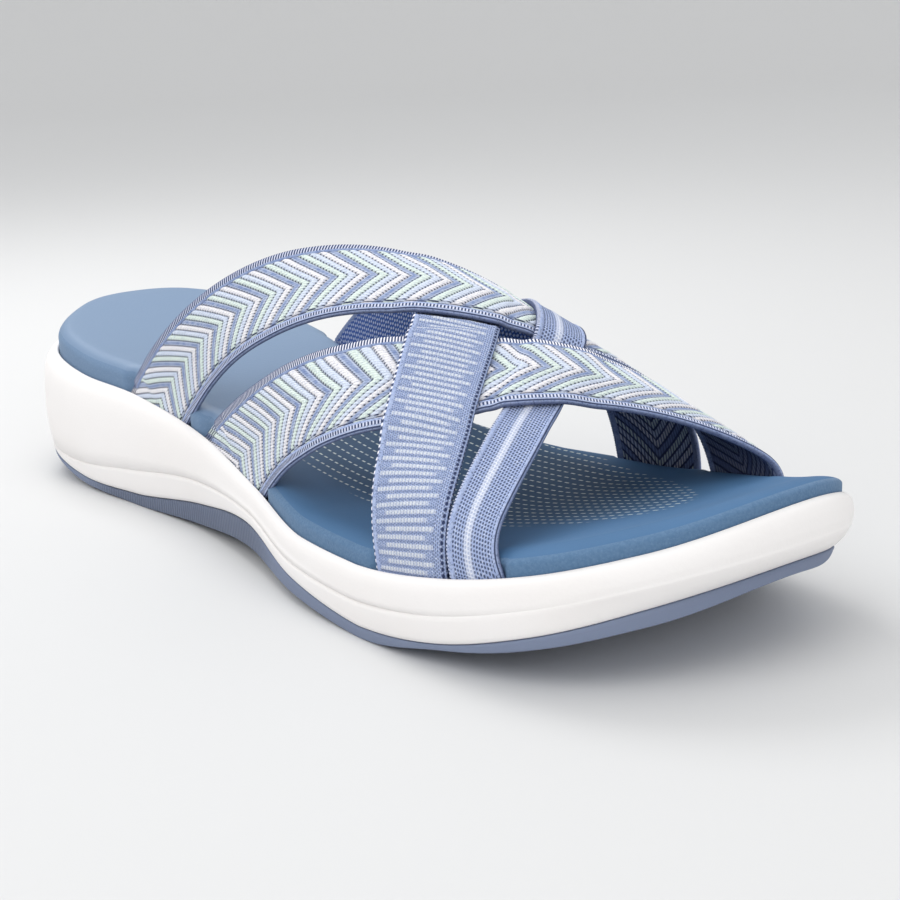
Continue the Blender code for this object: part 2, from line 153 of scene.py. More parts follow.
# Cuts along a strap's whole way and across it, the cuts left off at both ends, and the cuts to either side in which
# a straight line across the strap is looked for.
PATH_CUTS = 561
PATH_COLUMNS = 33
PATH_ENDS = 48
PATH_REACH = 62

# Metres: how far a strap goes down for each whole way beyond its ends, how far below the seam it is cut off, how far
# it starts inside the seam, and how far rubber and foam reach inwards where they lie against each other.
PLUNGE = 0.17
CUT_DEPTH = 0.0022
TUCK = 0.0011
JOINT_WIDTH = 0.0025
# The play between neighbours, and the step with which the rubber's and the foam's edges are broken.
PLAY = 0.0003
BREAK = 0.0002
# A strap's cloth reaches this share of its half width, under the bound edges, where it lies this much lower.
CLOTH_EDGE = 0.97
EDGE_DROP = 0.00025
# How far a strap's rows and its bound edges run on beyond its ends, where the sole hides them.
ROWS_SPARE = 0.010
EDGE_SPARE = 0.006
# Whole numbers in a node tree are the same if they are no further apart than this.
SAME = 0.4


def metres(name, about, default, low, high):
    return FloatProperty(name=name, description=about, default=default, min=low, max=high, unit="LENGTH")


def power(name, about, default, high):
    return FloatProperty(name=name, description=about, default=default, min=0.0, max=high)


def radians(name, about, default):
    return FloatProperty(name=name, description=about, default=default, subtype="ANGLE")


def colour(name, about, *default):
    return FloatVectorProperty(name=name, description=about, default=default, size=3, min=0, max=1, subtype="COLOR")


class SandalSizes(bpy.types.PropertyGroup):
    footbed_length: metres("Footbed Length", "Heel to toe along the seam", 0.254, 0.2, 0.32)
    ball_width: metres("Ball Width", "Widest part of the seam", 0.086, 0.06, 0.12)
    heel_height: metres("Heel Height", "Ground to seam at the heel", 0.0372, 0.015, 0.06)
    forefoot_height: metres("Forefoot Height", "Ground to seam at the ball", 0.0148, 0.008, 0.04)
    toe_spring: metres("Toe Spring", "Rise of the sole towards the toe", 0.018, 0.0, 0.04)
    waist_arch: metres("Waist Arch", "Lift of the tread under the waist", 0.0044, 0.0, 0.01)
    heel_bulge: metres("Heel Bulge", "How far the foam swells at the heel", 0.0046, 0.0, 0.01)
    forefoot_bulge: metres("Forefoot Bulge", "How far the foam swells at the forefoot", 0.0020, 0.0, 0.01)
    foot_flare: metres("Foot Flare", "Stand-off of the foam's lower edge", 0.0018, 0.0, 0.005)
    outsole_thickness: metres("Outsole Thickness", "Rubber under the heel and forefoot", 0.0022, 0.001, 0.01)
    outer_waist_band: metres("Outer Waist Band", "Rubber at the waist, little toe's side", 0.0063, 0.001, 0.02)
    inner_waist_band: metres("Inner Waist Band", "Rubber at the waist, big toe's side", 0.0080, 0.001, 0.02)
    tread_bevel: metres("Tread Bevel", "Rise of the tread's rim under the forefoot", 0.0020, 0.0, 0.003)
    heel_bevel: metres("Heel Bevel", "Rise of the tread's rim around the heel", 0.0024, 0.0, 0.006)
    toe_taper: metres("Toe Taper", "Rise of the tread's rim at the toe, big toe's side", 0.0054, 0.0, 0.008)
    groove_width: metres("Groove Width", "Width of the foam's side groove", 0.0007, 0.0003, 0.003)
    groove_depth: metres("Groove Depth", "Depth of the foam's side groove", 0.0004, 0.0, 0.002)
    recess_depth: metres("Recess Depth", "Depth of the footbed's seat", 0.0024, 0.001, 0.005)
    heel_rise: metres("Heel Rise", "Footbed above the seam at the heel", 0.0070, 0.002, 0.015)
    toe_rise: metres("Toe Rise", "Footbed above the seam at the toe", 0.0040, 0.002, 0.015)
    heel_round: metres("Heel Round", "Rounding of the footbed's edge at the heel", 0.0036, 0.001, 0.01)
    toe_round: metres("Toe Round", "Rounding of the footbed's edge at the toe", 0.0062, 0.001, 0.01)
    heel_dish: metres("Heel Dish", "Hollow of the footbed at the heel", 0.0016, 0.0, 0.005)
    forefoot_dish: metres("Forefoot Dish", "Hollow of the footbed at the forefoot", 0.0008, 0.0, 0.005)
    instep_height: metres("Instep Height", "Height of the straps over the seam", 0.0560, 0.03, 0.09)
    strap_flare: metres("Strap Flare", "How far the straps swell beside the foot", 0.0010, 0.0, 0.006)
    webbing_thickness: metres("Webbing Thickness", "Thickness of the straps' cloth", 0.0011, 0.0006, 0.003)
    weave_lift: metres("Weave Lift", "Rise or fall of a strap where it crosses another", 0.00085, 0.0, 0.003)
    chevron_pitch: metres("Chevron Pitch", "Width of one raised cord along the strap", 0.00233, 0.001, 0.006)
    chevron_height: metres("Chevron Height", "Height of the raised cords", 0.00048, 0.0, 0.0015)
    stitch_pitch: metres("Stitch Pitch", "Spacing of the overlocked edges' stitches", 0.00070, 0.0004, 0.003)
    picot_pitch: metres("Picot Pitch", "Spacing of the dots on the ribbed strap's heel edge", 0.0015, 0.0005, 0.003)
    rib_pitch: metres("Rib Pitch", "Spacing of the ribbed strap's rows", 0.00160, 0.001, 0.006)
    rib_height: metres("Rib Height", "Height of the ribbed strap's rows", 0.00022, 0.0, 0.001)


class SandalColours(bpy.types.PropertyGroup):
    rubber: colour("Rubber", "Slate outsole", 0.188, 0.226, 0.326)
    foam: colour("Foam", "Chalk midsole", 0.915, 0.890, 0.877)
    footbed: colour("Footbed", "Blue footbed", 0.068, 0.168, 0.325)
    # The heel's paler footbed colour is a painted sheen, standing in for the backdrop's reflection on the heel.
    painted_heel_sheen: colour("Painted Heel Sheen", "Paler, smoother heel of the footbed", 0.180, 0.268, 0.405)
    footbed_dash: colour("Footbed Dash", "Pale dashes on the footbed", 0.80, 0.88, 0.84)
    periwinkle: colour("Periwinkle", "Main yarn of the straps", 0.245, 0.320, 0.550)
    knit: colour("Knit", "Ground of the narrow straps", 0.360, 0.440, 0.680)
    pale_blue: colour("Pale Blue", "Light blue cords", 0.760, 0.830, 0.970)
    mint: colour("Mint", "Pale mint cords", 0.825, 0.930, 0.870)
    white: colour("White", "White cords and rows", 0.970, 0.950, 0.975)
    navy: colour("Navy", "Shadow yarn between the cords", 0.022, 0.032, 0.090)
    reverse: colour("Reverse", "Back of the narrow straps", 0.072, 0.135, 0.400)


class SandalStage(bpy.types.PropertyGroup):
    floor_radius: metres("Floor Radius", "Radius of the flat floor", 2.0, 0.8, 20.0)
    cove_radius: metres("Cove Radius", "Curve from the floor to the wall", 1.2, 0.1, 5.0)
    wall_height: metres("Wall Height", "Height of the wall around the floor", 1.4, 0.1, 10.0)
    floor_colour: colour("Floor Colour", "Pale floor", 0.70, 0.70, 0.70)
    sky_colour: colour("Sky Colour", "Colour of the even light", 0.98, 0.99, 1.0)
    sky_strength: power("Sky Strength", "Strength of the even light", 0.90, 5.0)
    key_power: power("Key Power", "Power of the main soft light, in watts", 3.7, 500.0)
    back_power: power("Back Power", "Power of the light behind and above the heel, in watts", 1.5, 500.0)
    toe_power: power("Toe Power", "Power of the light beyond the toe, in watts", 1.3, 500.0)
    camera_azimuth: radians("Camera Azimuth", "Turn of the camera around the sandal", 0.91473)
    camera_elevation: radians("Camera Elevation", "Height angle of the camera", 0.26669)
    camera_roll: radians("Camera Roll", "Roll of the camera", -0.03822)
    camera_lens: FloatProperty(
        name="Camera Lens", description="Focal length in millimetres", default=64.12, min=20.0, max=200.0)
    camera_place: FloatVectorProperty(
        name="Camera Place", description="Position of the camera", default=(0.31176, -0.21355, 0.1212), size=3,
        subtype="TRANSLATION", unit="LENGTH")


def ease(t):
    t = np.clip(t, 0, 1)
    return t * t * (3 - 2 * t)


def hill(at, start, rise, end, fall):
    """0 at start, 1 after the rise, 1 until the fall before end and 0 from there on."""
    return ease((at - start) / rise) * ease((end - at) / fall)


def through(knots, values, at, level_ends=False):
    """A smooth curve through a table's rows, read at the given places."""
    slopes = np.gradient(values, knots, edge_order=2)
    if level_ends:
        slopes[0] = slopes[-1] = 0.0
    at = np.clip(at, knots[0], knots[-1])
    i = np.clip(np.searchsorted(knots, at, side="right") - 1, 0, len(knots) - 2)
    step = knots[i + 1] - knots[i]
    s = (at - knots[i]) / step
    rise = 3 * s**2 - 2 * s**3
    return (values[i] * (1 - rise) + values[i + 1] * rise
            + step * (slopes[i] * (s - 2 * s**2 + s**3) + slopes[i + 1] * (s**3 - s**2)))


def turn_of(station):
    """The angle on a half circle at a share of the length, which spaces the cuts closer at the ends."""
    return np.arccos(np.clip(1 - 2 * np.asarray(station, float), -1, 1))


class SandalForm:
    """The sandal's lines and surfaces, worked out from the sizes."""

    def __init__(self, scene):
        self.size = scene.sandal_sizes
        self.colours = scene.sandal_colours
        self.shift = np.zeros(3)
        widest = np.concatenate([self.wall(lambda s, k=k: np.full_like(s, k)) for k in (0.0, 0.2, 0.6, 0.75)])
        self.shift[:2] = -(widest.min(axis=0) + widest.max(axis=0))[:2] / 2

    def sole(self, name, station):
        outline = name in ("half_width", "drift")
        return through(turn_of(SOLE["station"]), SOLE[name], turn_of(station), level_ends=not outline)

    def station_at(self, x):
        return np.clip(x / self.size.footbed_length + 0.5, 0, 1)

    def seam_height(self, station):
        drop = self.size.heel_height - self.size.forefoot_height
        return (self.size.forefoot_height + np.maximum(self.sole("heel_lift", station), 0) * drop
                + np.maximum(self.sole("toe_lift", station), 0) * self.size.toe_spring)

    def tread_height(self, station):
        return (np.maximum(self.sole("tread", station), 0) * self.size.toe_spring
                + np.maximum(self.sole("arch", station), 0) * self.size.waist_arch)

    def band_top(self, station, side):
        outer, inner = self.size.outer_waist_band, self.size.inner_waist_band
        waist = outer + (inner - outer) * (side + 1) / 2
        thin = self.size.outsole_thickness
        return self.tread_height(station) + thin + self.sole("band", station) * (waist - thin)

    def bulge(self, station):
        low, high = self.size.forefoot_bulge, self.size.heel_bulge
        return low + np.clip(self.sole("bulge", station), 0, 1) * (high - low)

    def half_width(self, station):
        return np.maximum(self.sole("half_width", station), 0) * self.size.ball_width / 2

    def drift(self, station):
        return self.sole("drift", station) * self.size.ball_width / 2

    def foot_offset(self, station):
        return self.sole("foot", station) * self.size.foot_flare

    def loop(self, out, height, moved=0.0):
        """A closed loop of points that lie out from the seam line and at a height, each given by station and side.

        Where moved is 1, the height is read at the points' own stations and not at those of the seam line.
        """
        turns = np.linspace(0, np.pi, LOOP_STEPS + 1)
        turn = np.concatenate([turns, turns[-2:0:-1]])
        sign = np.concatenate([-np.ones(LOOP_STEPS + 1), np.ones(LOOP_STEPS - 1)])
        station = (1 - np.cos(turn)) / 2
        side = sign * ease(np.minimum(station, 1 - station) / TIP)
        x = (station - 0.5) * self.size.footbed_length
        y = self.drift(station) + sign * self.half_width(station)
        along_x = np.roll(x, -1) - np.roll(x, 1)
        along_y = np.roll(y, -1) - np.roll(y, 1)
        span = np.hypot(along_x, along_y)
        away = out(station, side)
        px = x + away * along_y / span
        py = y - away * along_x / span
        station = station + (self.station_at(px) - station) * moved
        return np.stack([px, py, height(station, side)], axis=1)

    def wall_offset(self, share, station):
        foot = through(WALL["height"], WALL["foot"], share)
        stand_off = self.foot_offset(station)
        foot = np.where(stand_off < 0, np.clip(foot, 0, 1) ** 5, foot)
        return foot * stand_off + through(WALL["height"], WALL["bulge"], share) * self.bulge(station)

    def wall(self, share_of, inset=0.0, lift=0.0):
        """A loop on the foam's side wall at a share of its height that may change along the sole."""
        def height(station, side):
            foot = self.band_top(station, side) + BREAK
            return foot + share_of(station) * (self.seam_height(station) - foot) + lift
        inset_of = inset if callable(inset) else lambda station: inset
        return self.loop(lambda s, side: self.wall_offset(share_of(s), s) - inset_of(s), height)

    def instep(self, x):
        height = through(INSTEP["station"], INSTEP["height"], x / self.size.footbed_length + 0.5)
        return height * self.size.instep_height

    def over_foot(self, x, way):
        """The surface that the straps follow, from the little toe's seam at way 0 to the big toe's at 1.

        Beyond either end it goes straight down into the sole.
        """
        inside = np.clip(way, 0, 1)
        station = self.station_at(x)
        swell, inner_lean, roundness = 0.20, 0.074, 0.93
        out = -TUCK + (self.size.strap_flare + TUCK) * ease(np.minimum(inside, 1 - inside) / swell)
        turn = np.pi * inside
        half = self.half_width(station)
        y = self.drift(station) - (half + out) * np.cos(turn) + inner_lean * half * np.sin(turn) ** 2
        z = self.seam_height(station) + self.instep(x) * np.maximum(np.sin(turn), 0) ** roundness
        z = z - np.abs(way - inside) * PLUNGE
        return np.stack([x, y, z], axis=-1)

    def strap_edges(self, name, way):
        """x of a strap's heel edge and toe edge on the way over the foot."""
        edges, apart = [], 0.0005
        for outer, inner, *swings in STRAPS[name]:
            wave = sum(swing * np.sin((n + 1) * np.pi * way) for n, swing in enumerate(swings))
            edges.append((outer + (inner - outer) * way + wave - 0.5) * self.size.footbed_length)
        if name == "striped":
            edges[0] = np.maximum(edges[0], self.strap_edges("ribbed", way)[1] + apart)
        return edges

    def weave(self, name, x, way):
        """How far a strap rides above or below the middle of the weave at a point."""
        lift = np.zeros_like(x)
        margin = 0.0008
        for over, under, rise, dip in CROSSINGS:
            if name in (over, under):
                partner = under if name == over else over
                heel, toe = self.strap_edges(partner, way)
                before, after = WEAVE_RAMPS[partner]
                mask = hill(x, heel - before + margin, before, toe + after - margin, after)
                lift = lift + (rise if name == over else -dip) * mask
        return lift * self.size.weave_lift

    def strap_press(self, station, side):
        """Share, from 0 to 1, of the room that the footbed's edge gives to the straps."""
        room = np.zeros_like(station)
        fade = 0.006
        for heel_edge, toe_edge in STRAPS.values():
            for sign, heel, toe in zip((-1, 1), heel_edge, toe_edge):
                mask = hill(station, heel - fade, fade, toe + fade, fade)
                room = np.maximum(room, mask * (side * sign > 0))
        return room


class StrapPath:
    """One strap's surface by distance along it and share across it, with its outward directions."""

    def __init__(self, form, name):
        self.size = form.size
        way = np.linspace(-0.20, 1.20, PATH_CUTS)
        across = np.linspace(-1, 1, PATH_COLUMNS)
        heel, toe = form.strap_edges(name, way)
        spread = (across + 1) / 2
        x = heel[:, None] + (toe - heel)[:, None] * spread
        base = form.over_foot(x, np.repeat(way[:, None], len(across), axis=1))
        middle = base[:, len(across) // 2]
        along = np.concatenate([[0], np.cumsum(np.linalg.norm(np.diff(middle, axis=0), axis=1))])
        along -= np.interp(0.0, way, along)
        tangent = np.gradient(middle, axis=0)
        tangent /= np.linalg.norm(tangent, axis=1)[:, None]
        picks = range(PATH_ENDS, len(way) - PATH_ENDS, 2)
        ways = np.empty((len(picks), len(across)))
        for row, i in enumerate(picks):
            window = slice(max(i - PATH_REACH, 0), i + PATH_REACH + 1)
            reach = (base[window] - middle[i]) @ tangent[i]
            for j in range(len(across)):
                ways[row, j] = np.interp(0.0, reach[:, j], way[window])
        heel, toe = form.strap_edges(name, ways)
        x = heel + (toe - heel) * spread
        points = form.over_foot(x, ways)
        normal = self._normals(points)
        points = points + normal * form.weave(name, x, np.clip(ways, 0, 1))[..., None]
        depth = np.maximum(-ways, ways - 1) * PLUNGE
        self.surface = np.concatenate([points + form.shift, self._normals(points), depth[..., None]], axis=-1)
        self.along = along[PATH_ENDS:-PATH_ENDS:2]
        self.across = across
        self.length = float(np.interp(1.0, way, along))
        width = np.linalg.norm(points[:, -1] - points[:, 0], axis=1)
        self.half_width = float(np.median(width)) / 2

    @staticmethod
    def _normals(points):
        normal = np.cross(np.gradient(points, axis=1), np.gradient(points, axis=0))
        return normal / np.linalg.norm(normal, axis=-1)[..., None]

    def place(self, along, across, height):
        """Points at height above the strap's middle surface, and how deep each one is below the seam."""
        i = np.interp(along, self.along, np.arange(len(self.along)))
        j = np.interp(across, self.across, np.arange(len(self.across)))
        i0 = np.clip(i.astype(int), 0, len(self.along) - 2)
        j0 = np.clip(j.astype(int), 0, len(self.across) - 2)
        a, b = (i - i0)[..., None], (j - j0)[..., None]
        rows = self.surface[i0, j0] * (1 - a) + self.surface[i0 + 1, j0] * a
        next_rows = self.surface[i0, j0 + 1] * (1 - a) + self.surface[i0 + 1, j0 + 1] * a
        found = rows * (1 - b) + next_rows * b
        normals = found[..., 3:6] / np.linalg.norm(found[..., 3:6], axis=-1)[..., None]
        return found[..., :3] + normals * np.asarray(height)[..., None], found[..., 6]


def add_piece(name, points, faces, materials, maps=None, slots=None):
    """A mesh object from points and faces, with its UV map in centimetres and its place on the frame."""
    mesh = bpy.data.meshes.new(name)
    mesh.from_pydata(np.asarray(points, float).tolist(), [], faces)
    if maps is not None:
        layer = mesh.uv_layers.new(name="cloth")
        corner = np.empty(len(mesh.loops), dtype=np.int32)
        mesh.loops.foreach_get("vertex_index", corner)
        layer.data.foreach_set("uv", (np.asarray(maps)[corner] * 100).astype(np.float32).ravel())
    if slots is not None:
        mesh.polygons.foreach_set("material_index", np.asarray(slots, dtype=np.int32))
    mesh.shade_smooth()
    mesh.update()
    for material in materials:
        mesh.materials.append(material)
    piece = bpy.data.objects.new(name, mesh)
    bpy.context.scene.collection.objects.link(piece)
    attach(piece, "root")
    return piece


def grid_faces(rows, columns, first=0, flip=False, wrap=False):
    faces = []
    for i in range(rows - 1):
        for k in range(columns if wrap else columns - 1):
            n = (k + 1) % columns
            a, b = first + i * columns + k, first + i * columns + n
            face = (a, b, b + columns, a + columns)
            faces.append(face[::-1] if flip else face)
    return faces


def ring_solid(form, rings, top_sag=None):
    """Points and faces of a closed solid whose wall runs through loops, closed by caps at the bottom and the top.

    Returns also how many faces the wall, the bottom and the top have.
    """
    count = 2 * LOOP_STEPS
    points = [np.concatenate(rings)]
    faces = grid_faces(len(rings), count, wrap=True)
    made = [len(faces)]
    base = len(rings) * count
    v = np.arange(1, CAP_STEPS) / CAP_STEPS
    station = (1 - np.cos(np.linspace(0, np.pi, LOOP_STEPS + 1)[1:-1])) / 2
    for loop, first, upward in ((rings[0], 0, False), (rings[-1], base - count, True)):
        near = loop[1:LOOP_STEPS]
        far = loop[count - 1:LOOP_STEPS:-1]
        rows = near[:, None] + (far - near)[:, None] * v[None, :, None]
        if upward and top_sag:
            rows[..., 2] += top_sag(station[:, None], v[None, :])
        points.append(rows.reshape(-1, 3))
        index = np.empty((LOOP_STEPS + 1, CAP_STEPS + 1), dtype=int)
        index[0] = first
        index[-1] = first + LOOP_STEPS
        index[1:-1, 0] = first + np.arange(1, LOOP_STEPS)
        index[1:-1, -1] = first + count - np.arange(1, LOOP_STEPS)
        index[1:-1, 1:-1] = base + np.arange((LOOP_STEPS - 1) * (CAP_STEPS - 1)).reshape(LOOP_STEPS - 1, -1)
        for i in range(LOOP_STEPS):
            for k in range(CAP_STEPS):
                face = [index[i, k], index[i + 1, k], index[i + 1, k + 1], index[i, k + 1]]
                face = [int(n) for m, n in enumerate(face) if n not in face[:m]]
                faces.append(face if upward else face[::-1])
        made.append(len(faces) - sum(made))
        base += rows.shape[0] * rows.shape[1]
    return np.concatenate(points) + form.shift, faces, made


def loop_maps(rings, extra):
    """UV places for rings of a loop: distance around it and height, with plain x and y for the caps' points."""
    maps = []
    for ring in rings:
        step = np.linalg.norm(np.diff(np.concatenate([ring, ring[:1]]), axis=0), axis=1)
        around = np.concatenate([[0], np.cumsum(step)[:-1]])
        maps.append(np.stack([around, ring[:, 2]], axis=1))
    return np.concatenate(maps + [extra])


def build_outsole(form):
    size = form.size

    def tread(station, side, share=1.0):
        """Height of the tread's rim, with a share of the bevel that rounds it up."""
        forefoot = hill(station, 0.74, 0.09, 0.99, 0.10)
        heel = 1 - ease((station - 0.06) / 0.12)
        inner_toe = hill(station, 0.88, 0.08, 1.0, 0.045) * (side > 0)
        rise = size.tread_bevel * forefoot + size.heel_bevel * heel + size.toe_taper * inner_toe
        low = form.tread_height(station)
        return low + np.minimum(rise, form.band_top(station, side) - low - 2 * PLAY) * share

    def rim(inset, share=1.0, up=0.0):
        return form.loop(lambda s, side: form.foot_offset(s) - inset, lambda s, side: tread(s, side, share) + up)

    def band(inset, share, gap):
        def height(station, side):
            foot = tread(station, side) + PLAY
            return foot + (form.band_top(station, side) - gap - foot) * share
        return form.loop(lambda s, side: form.foot_offset(s) - inset, height)

    rings = [rim(inset, share) for inset, share in (
        (0.0090, 0.0), (0.0062, 0.08), (0.0042, 0.28), (0.0026, 0.56), (0.0014, 0.82))]
    rings += [rim(PLAY * (1 - np.sin(a)), up=PLAY * (1 - np.cos(a))) for a in np.radians((15, 40, 65, 90))]
    rings += [band(0.0, share, BREAK) for share in (0.33, 0.67, 1.0)]
    rings += [band(BREAK, 1.0, 0.0), band(JOINT_WIDTH, 1.0, 0.0)]
    points, faces, (wall, bottom, top) = ring_solid(form, rings)
    slots = [0] * wall + [1] * bottom + [0] * top
    maps = loop_maps(rings, points[len(rings) * 2 * LOOP_STEPS:, :2])
    materials = [rubber_side(form), rubber_tread(form)]
    piece = add_piece("outsole_rubber", points, faces, materials, maps, slots)
    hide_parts("outsole")


def build_midsole(form):
    size = form.size

    def groove(station):
        return form.sole("groove", station)

    def below_groove(share, inset=0.0, lift=0.0):
        return form.wall(lambda s: groove(s) * share, inset, lift)

    def in_groove(place, depth):
        return form.wall(groove, lambda s: size.groove_depth * depth * ease((0.97 - s) / 0.25),
                         size.groove_width * place)

    def above_groove(share):
        return form.wall(lambda s: groove(s) + (1 - groove(s)) * share)

    def at_seam(bulge, lift):
        return form.loop(lambda s, side: bulge * form.bulge(s), lambda s, side: form.seam_height(s) + lift)

    rings = [below_groove(0.0, inset=JOINT_WIDTH), below_groove(0.0, inset=PLAY), below_groove(0.0, lift=PLAY)]
    rings += [below_groove(share) for share in (0.2, 0.4, 0.6, 0.8)]
    rings += [in_groove(place, depth) for place, depth in GROOVE_PROFILE]
    rings += [above_groove(share) for share in (0.2, 0.3, 0.4, 0.5, 0.6, 0.7, 0.78, 0.85, 0.91, 0.95, 0.98)]
    rings += [at_seam(bulge, lift) for bulge, lift in (
        (0.17, -0.0001), (0.09, 0.0001), (0.0, -0.0002), (0.0, -size.recess_depth))]
    points, faces, _ = ring_solid(form, rings)
    piece = add_piece("midsole_foam", points, faces, [foam_skin(form)])
    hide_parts("midsole")


def build_footbed(form):
    size = form.size
    # The side band's share of the footbed's height, and the room that its edge gives to the straps.
    side_share, press_depth = 0.45, 0.0016

    def rise(station):
        return size.heel_rise + (size.toe_rise - size.heel_rise) * station

    def rounding(station):
        return size.heel_round + (size.toe_round - size.heel_round) * station

    def shoulder(angle):
        def out(station, side):
            press = form.strap_press(station, side) * press_depth * (1 - 0.5 * np.sin(angle))
            return -PLAY - press - rounding(station) * (1 - np.cos(angle))
        share = side_share + (1 - side_share) * np.sin(angle)
        return form.loop(out, lambda s, side: form.seam_height(s) + rise(s) * share, moved=0.5)

    def under(share):
        low = size.recess_depth - PLAY
        return form.loop(lambda s, side: -PLAY - form.strap_press(s, side) * press_depth,
                         lambda s, side: form.seam_height(s) - low + (low + rise(s) * side_share) * share,
                         moved=0.5 * share)

    def dish(station, v):
        depth = (size.heel_dish + (size.forefoot_dish - size.heel_dish) * station) * np.sin(np.pi * station)
        return -depth * 4 * v * (1 - v)

    rings = [under(share) for share in (0.0, 0.35, 0.6, 0.8)]
    rings += [shoulder(a) for a in np.radians((0, 9, 18, 27, 36, 45, 54, 63, 72, 81, 90))]
    points, faces, (wall, bottom, top) = ring_solid(form, rings, dish)
    side_faces = 2 * LOOP_STEPS * 8
    slots = [0] * side_faces + [1] * (wall - side_faces) + [0] * bottom + [1] * top
    piece = add_piece("footbed_pad", points, faces, [footbed_side(form), footbed_top(form)], slots=slots)
    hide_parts("insole")


def drop_loose(mesh):
    """Removes the points that no face uses."""
    used = np.zeros(len(mesh.vertices), dtype=bool)
    corner = np.empty(len(mesh.loops), dtype=np.int32)
    mesh.loops.foreach_get("vertex_index", corner)
    used[corner] = True
    if used.all():
        return
    work = bmesh.new()
    work.from_mesh(mesh)
    work.verts.ensure_lookup_table()
    bmesh.ops.delete(work, geom=[work.verts[int(n)] for n in np.flatnonzero(~used)], context="VERTS")
    work.to_mesh(mesh)
    work.free()


def webbing(path, name, materials, rows, columns, relief, slant=0.0, shear=NO_SHEAR):
    """A strap's cloth: an outer face with relief and a plain inner face, cut off below the seam.

    rows are distances along the strap at its middle, columns shares across it, and relief gives the outer face's
    height at each row and column. The map's first measure stays the same along a row, however it slants.
    """
    shares, shears = np.array(shear, float).T
    lean = np.interp(rows / path.length, shares, shears)
    along = rows[:, None] + (lean[:, None] * columns - slant * np.abs(columns)) * path.half_width
    spread = np.repeat(columns[None, :], len(rows), axis=0)
    relief = relief.copy()
    relief[:, [0, -1]] -= EDGE_DROP
    half = path.size.webbing_thickness / 2
    outer, depth = path.place(along, spread, half + relief)
    inner, _ = path.place(along, spread, np.full(along.shape, -half))
    count = len(columns)
    points = np.concatenate([outer.reshape(-1, 3), inner.reshape(-1, 3)])
    maps = np.stack([np.repeat(rows[:, None], count, axis=1), spread * path.half_width], axis=-1).reshape(-1, 2)
    below = len(rows) * count
    keep = ((depth < CUT_DEPTH) & (along > path.along[0] + 1e-4) & (along < path.along[-1] - 1e-4)).ravel()
    faces, slots = [], []
    for i in range(len(rows) - 1):
        for k in range(count - 1):
            a = i * count + k
            face = (a, a + 1, a + 1 + count, a + count)
            if not any(keep[n] for n in face):
                continue
            made = [face, tuple(below + n for n in face[::-1])]
            if k == 0:
                made.append((a, a + count, below + a + count, below + a))
            if k == count - 2:
                made.append((a + 1, below + a + 1, below + a + 1 + count, a + 1 + count))
            faces += made
            slots += [0, 1, 0][:len(made)]
    piece = add_piece(name, points, faces, materials, np.concatenate([maps, maps]), slots)
    drop_loose(piece.data)
    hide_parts("upper")


def edge_binding(path, name, material, side, section, pitch, tooth, scale=1.0):
    """Overlocked thread around one edge of a strap: a folded section that swells at each tooth.

    section lists, from the outer face round the edge to the inner one, the millimetres in from the edge, which
    scale narrows, the height as a share of half the cloth's thickness, and how much of the tooth it shows. The
    map's second measure is the distance in from the edge, below zero on the inner face.
    """
    count = int((path.length + 2 * EDGE_SPARE) / pitch)
    rows = np.array([(n + share) * pitch - EDGE_SPARE for n in range(count) for share, _ in TOOTH_PROFILE])
    swell = np.array([height for _, height in TOOTH_PROFILE] * count)
    inward, level, show = np.array(section, float).T
    inward = inward * scale / 1000
    across = side * (1 - inward / path.half_width)
    along = np.repeat(rows[:, None], len(section), axis=1)
    spread = np.repeat(across[None, :], len(rows), axis=0)
    teeth = swell[:, None] * show[None, :] * tooth
    height = (level * path.size.webbing_thickness / 2)[None, :] + np.sign(level)[None, :] * teeth
    points, depth = path.place(along, spread, height)
    middle, _ = path.place(along, np.full_like(spread, side * 0.8), np.zeros(along.shape))
    rim, _ = path.place(along, np.full_like(spread, float(side)), np.zeros(along.shape))
    outward = rim - middle
    outward /= np.linalg.norm(outward, axis=-1)[..., None]
    push = teeth * np.clip(1 - np.abs(level), 0, 1)[None, :] + np.maximum(-inward, 0)[None, :]
    points = points + outward * push[..., None]
    keep = (depth < CUT_DEPTH).ravel()
    faces = [f for f in grid_faces(len(rows), len(section), flip=side < 0) if any(keep[n] for n in f)]
    place = np.where(level < 0.05, -np.abs(inward) - 0.0001, inward)
    maps = np.stack([along, np.repeat(place[None, :], len(rows), axis=0)], axis=-1).reshape(-1, 2)
    piece = add_piece(name, points.reshape(-1, 3), faces, [material], maps)
    drop_loose(piece.data)
    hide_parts("upper")


def cord_rows(path, pitch, start, spare, heights):
    """Distances along a strap for a run of raised rows, and each one's share of the relief."""
    first = int(np.floor((-ROWS_SPARE - start) / pitch))
    last = int(np.ceil((path.length + spare - start) / pitch))
    rows = [(n + share) * pitch + start for n in range(first, last) for share, _ in CORD_PROFILE]
    rise = [height * heights[n % len(heights)] for n in range(first, last) for _, height in CORD_PROFILE]
    return np.array(rows), np.array(rise)


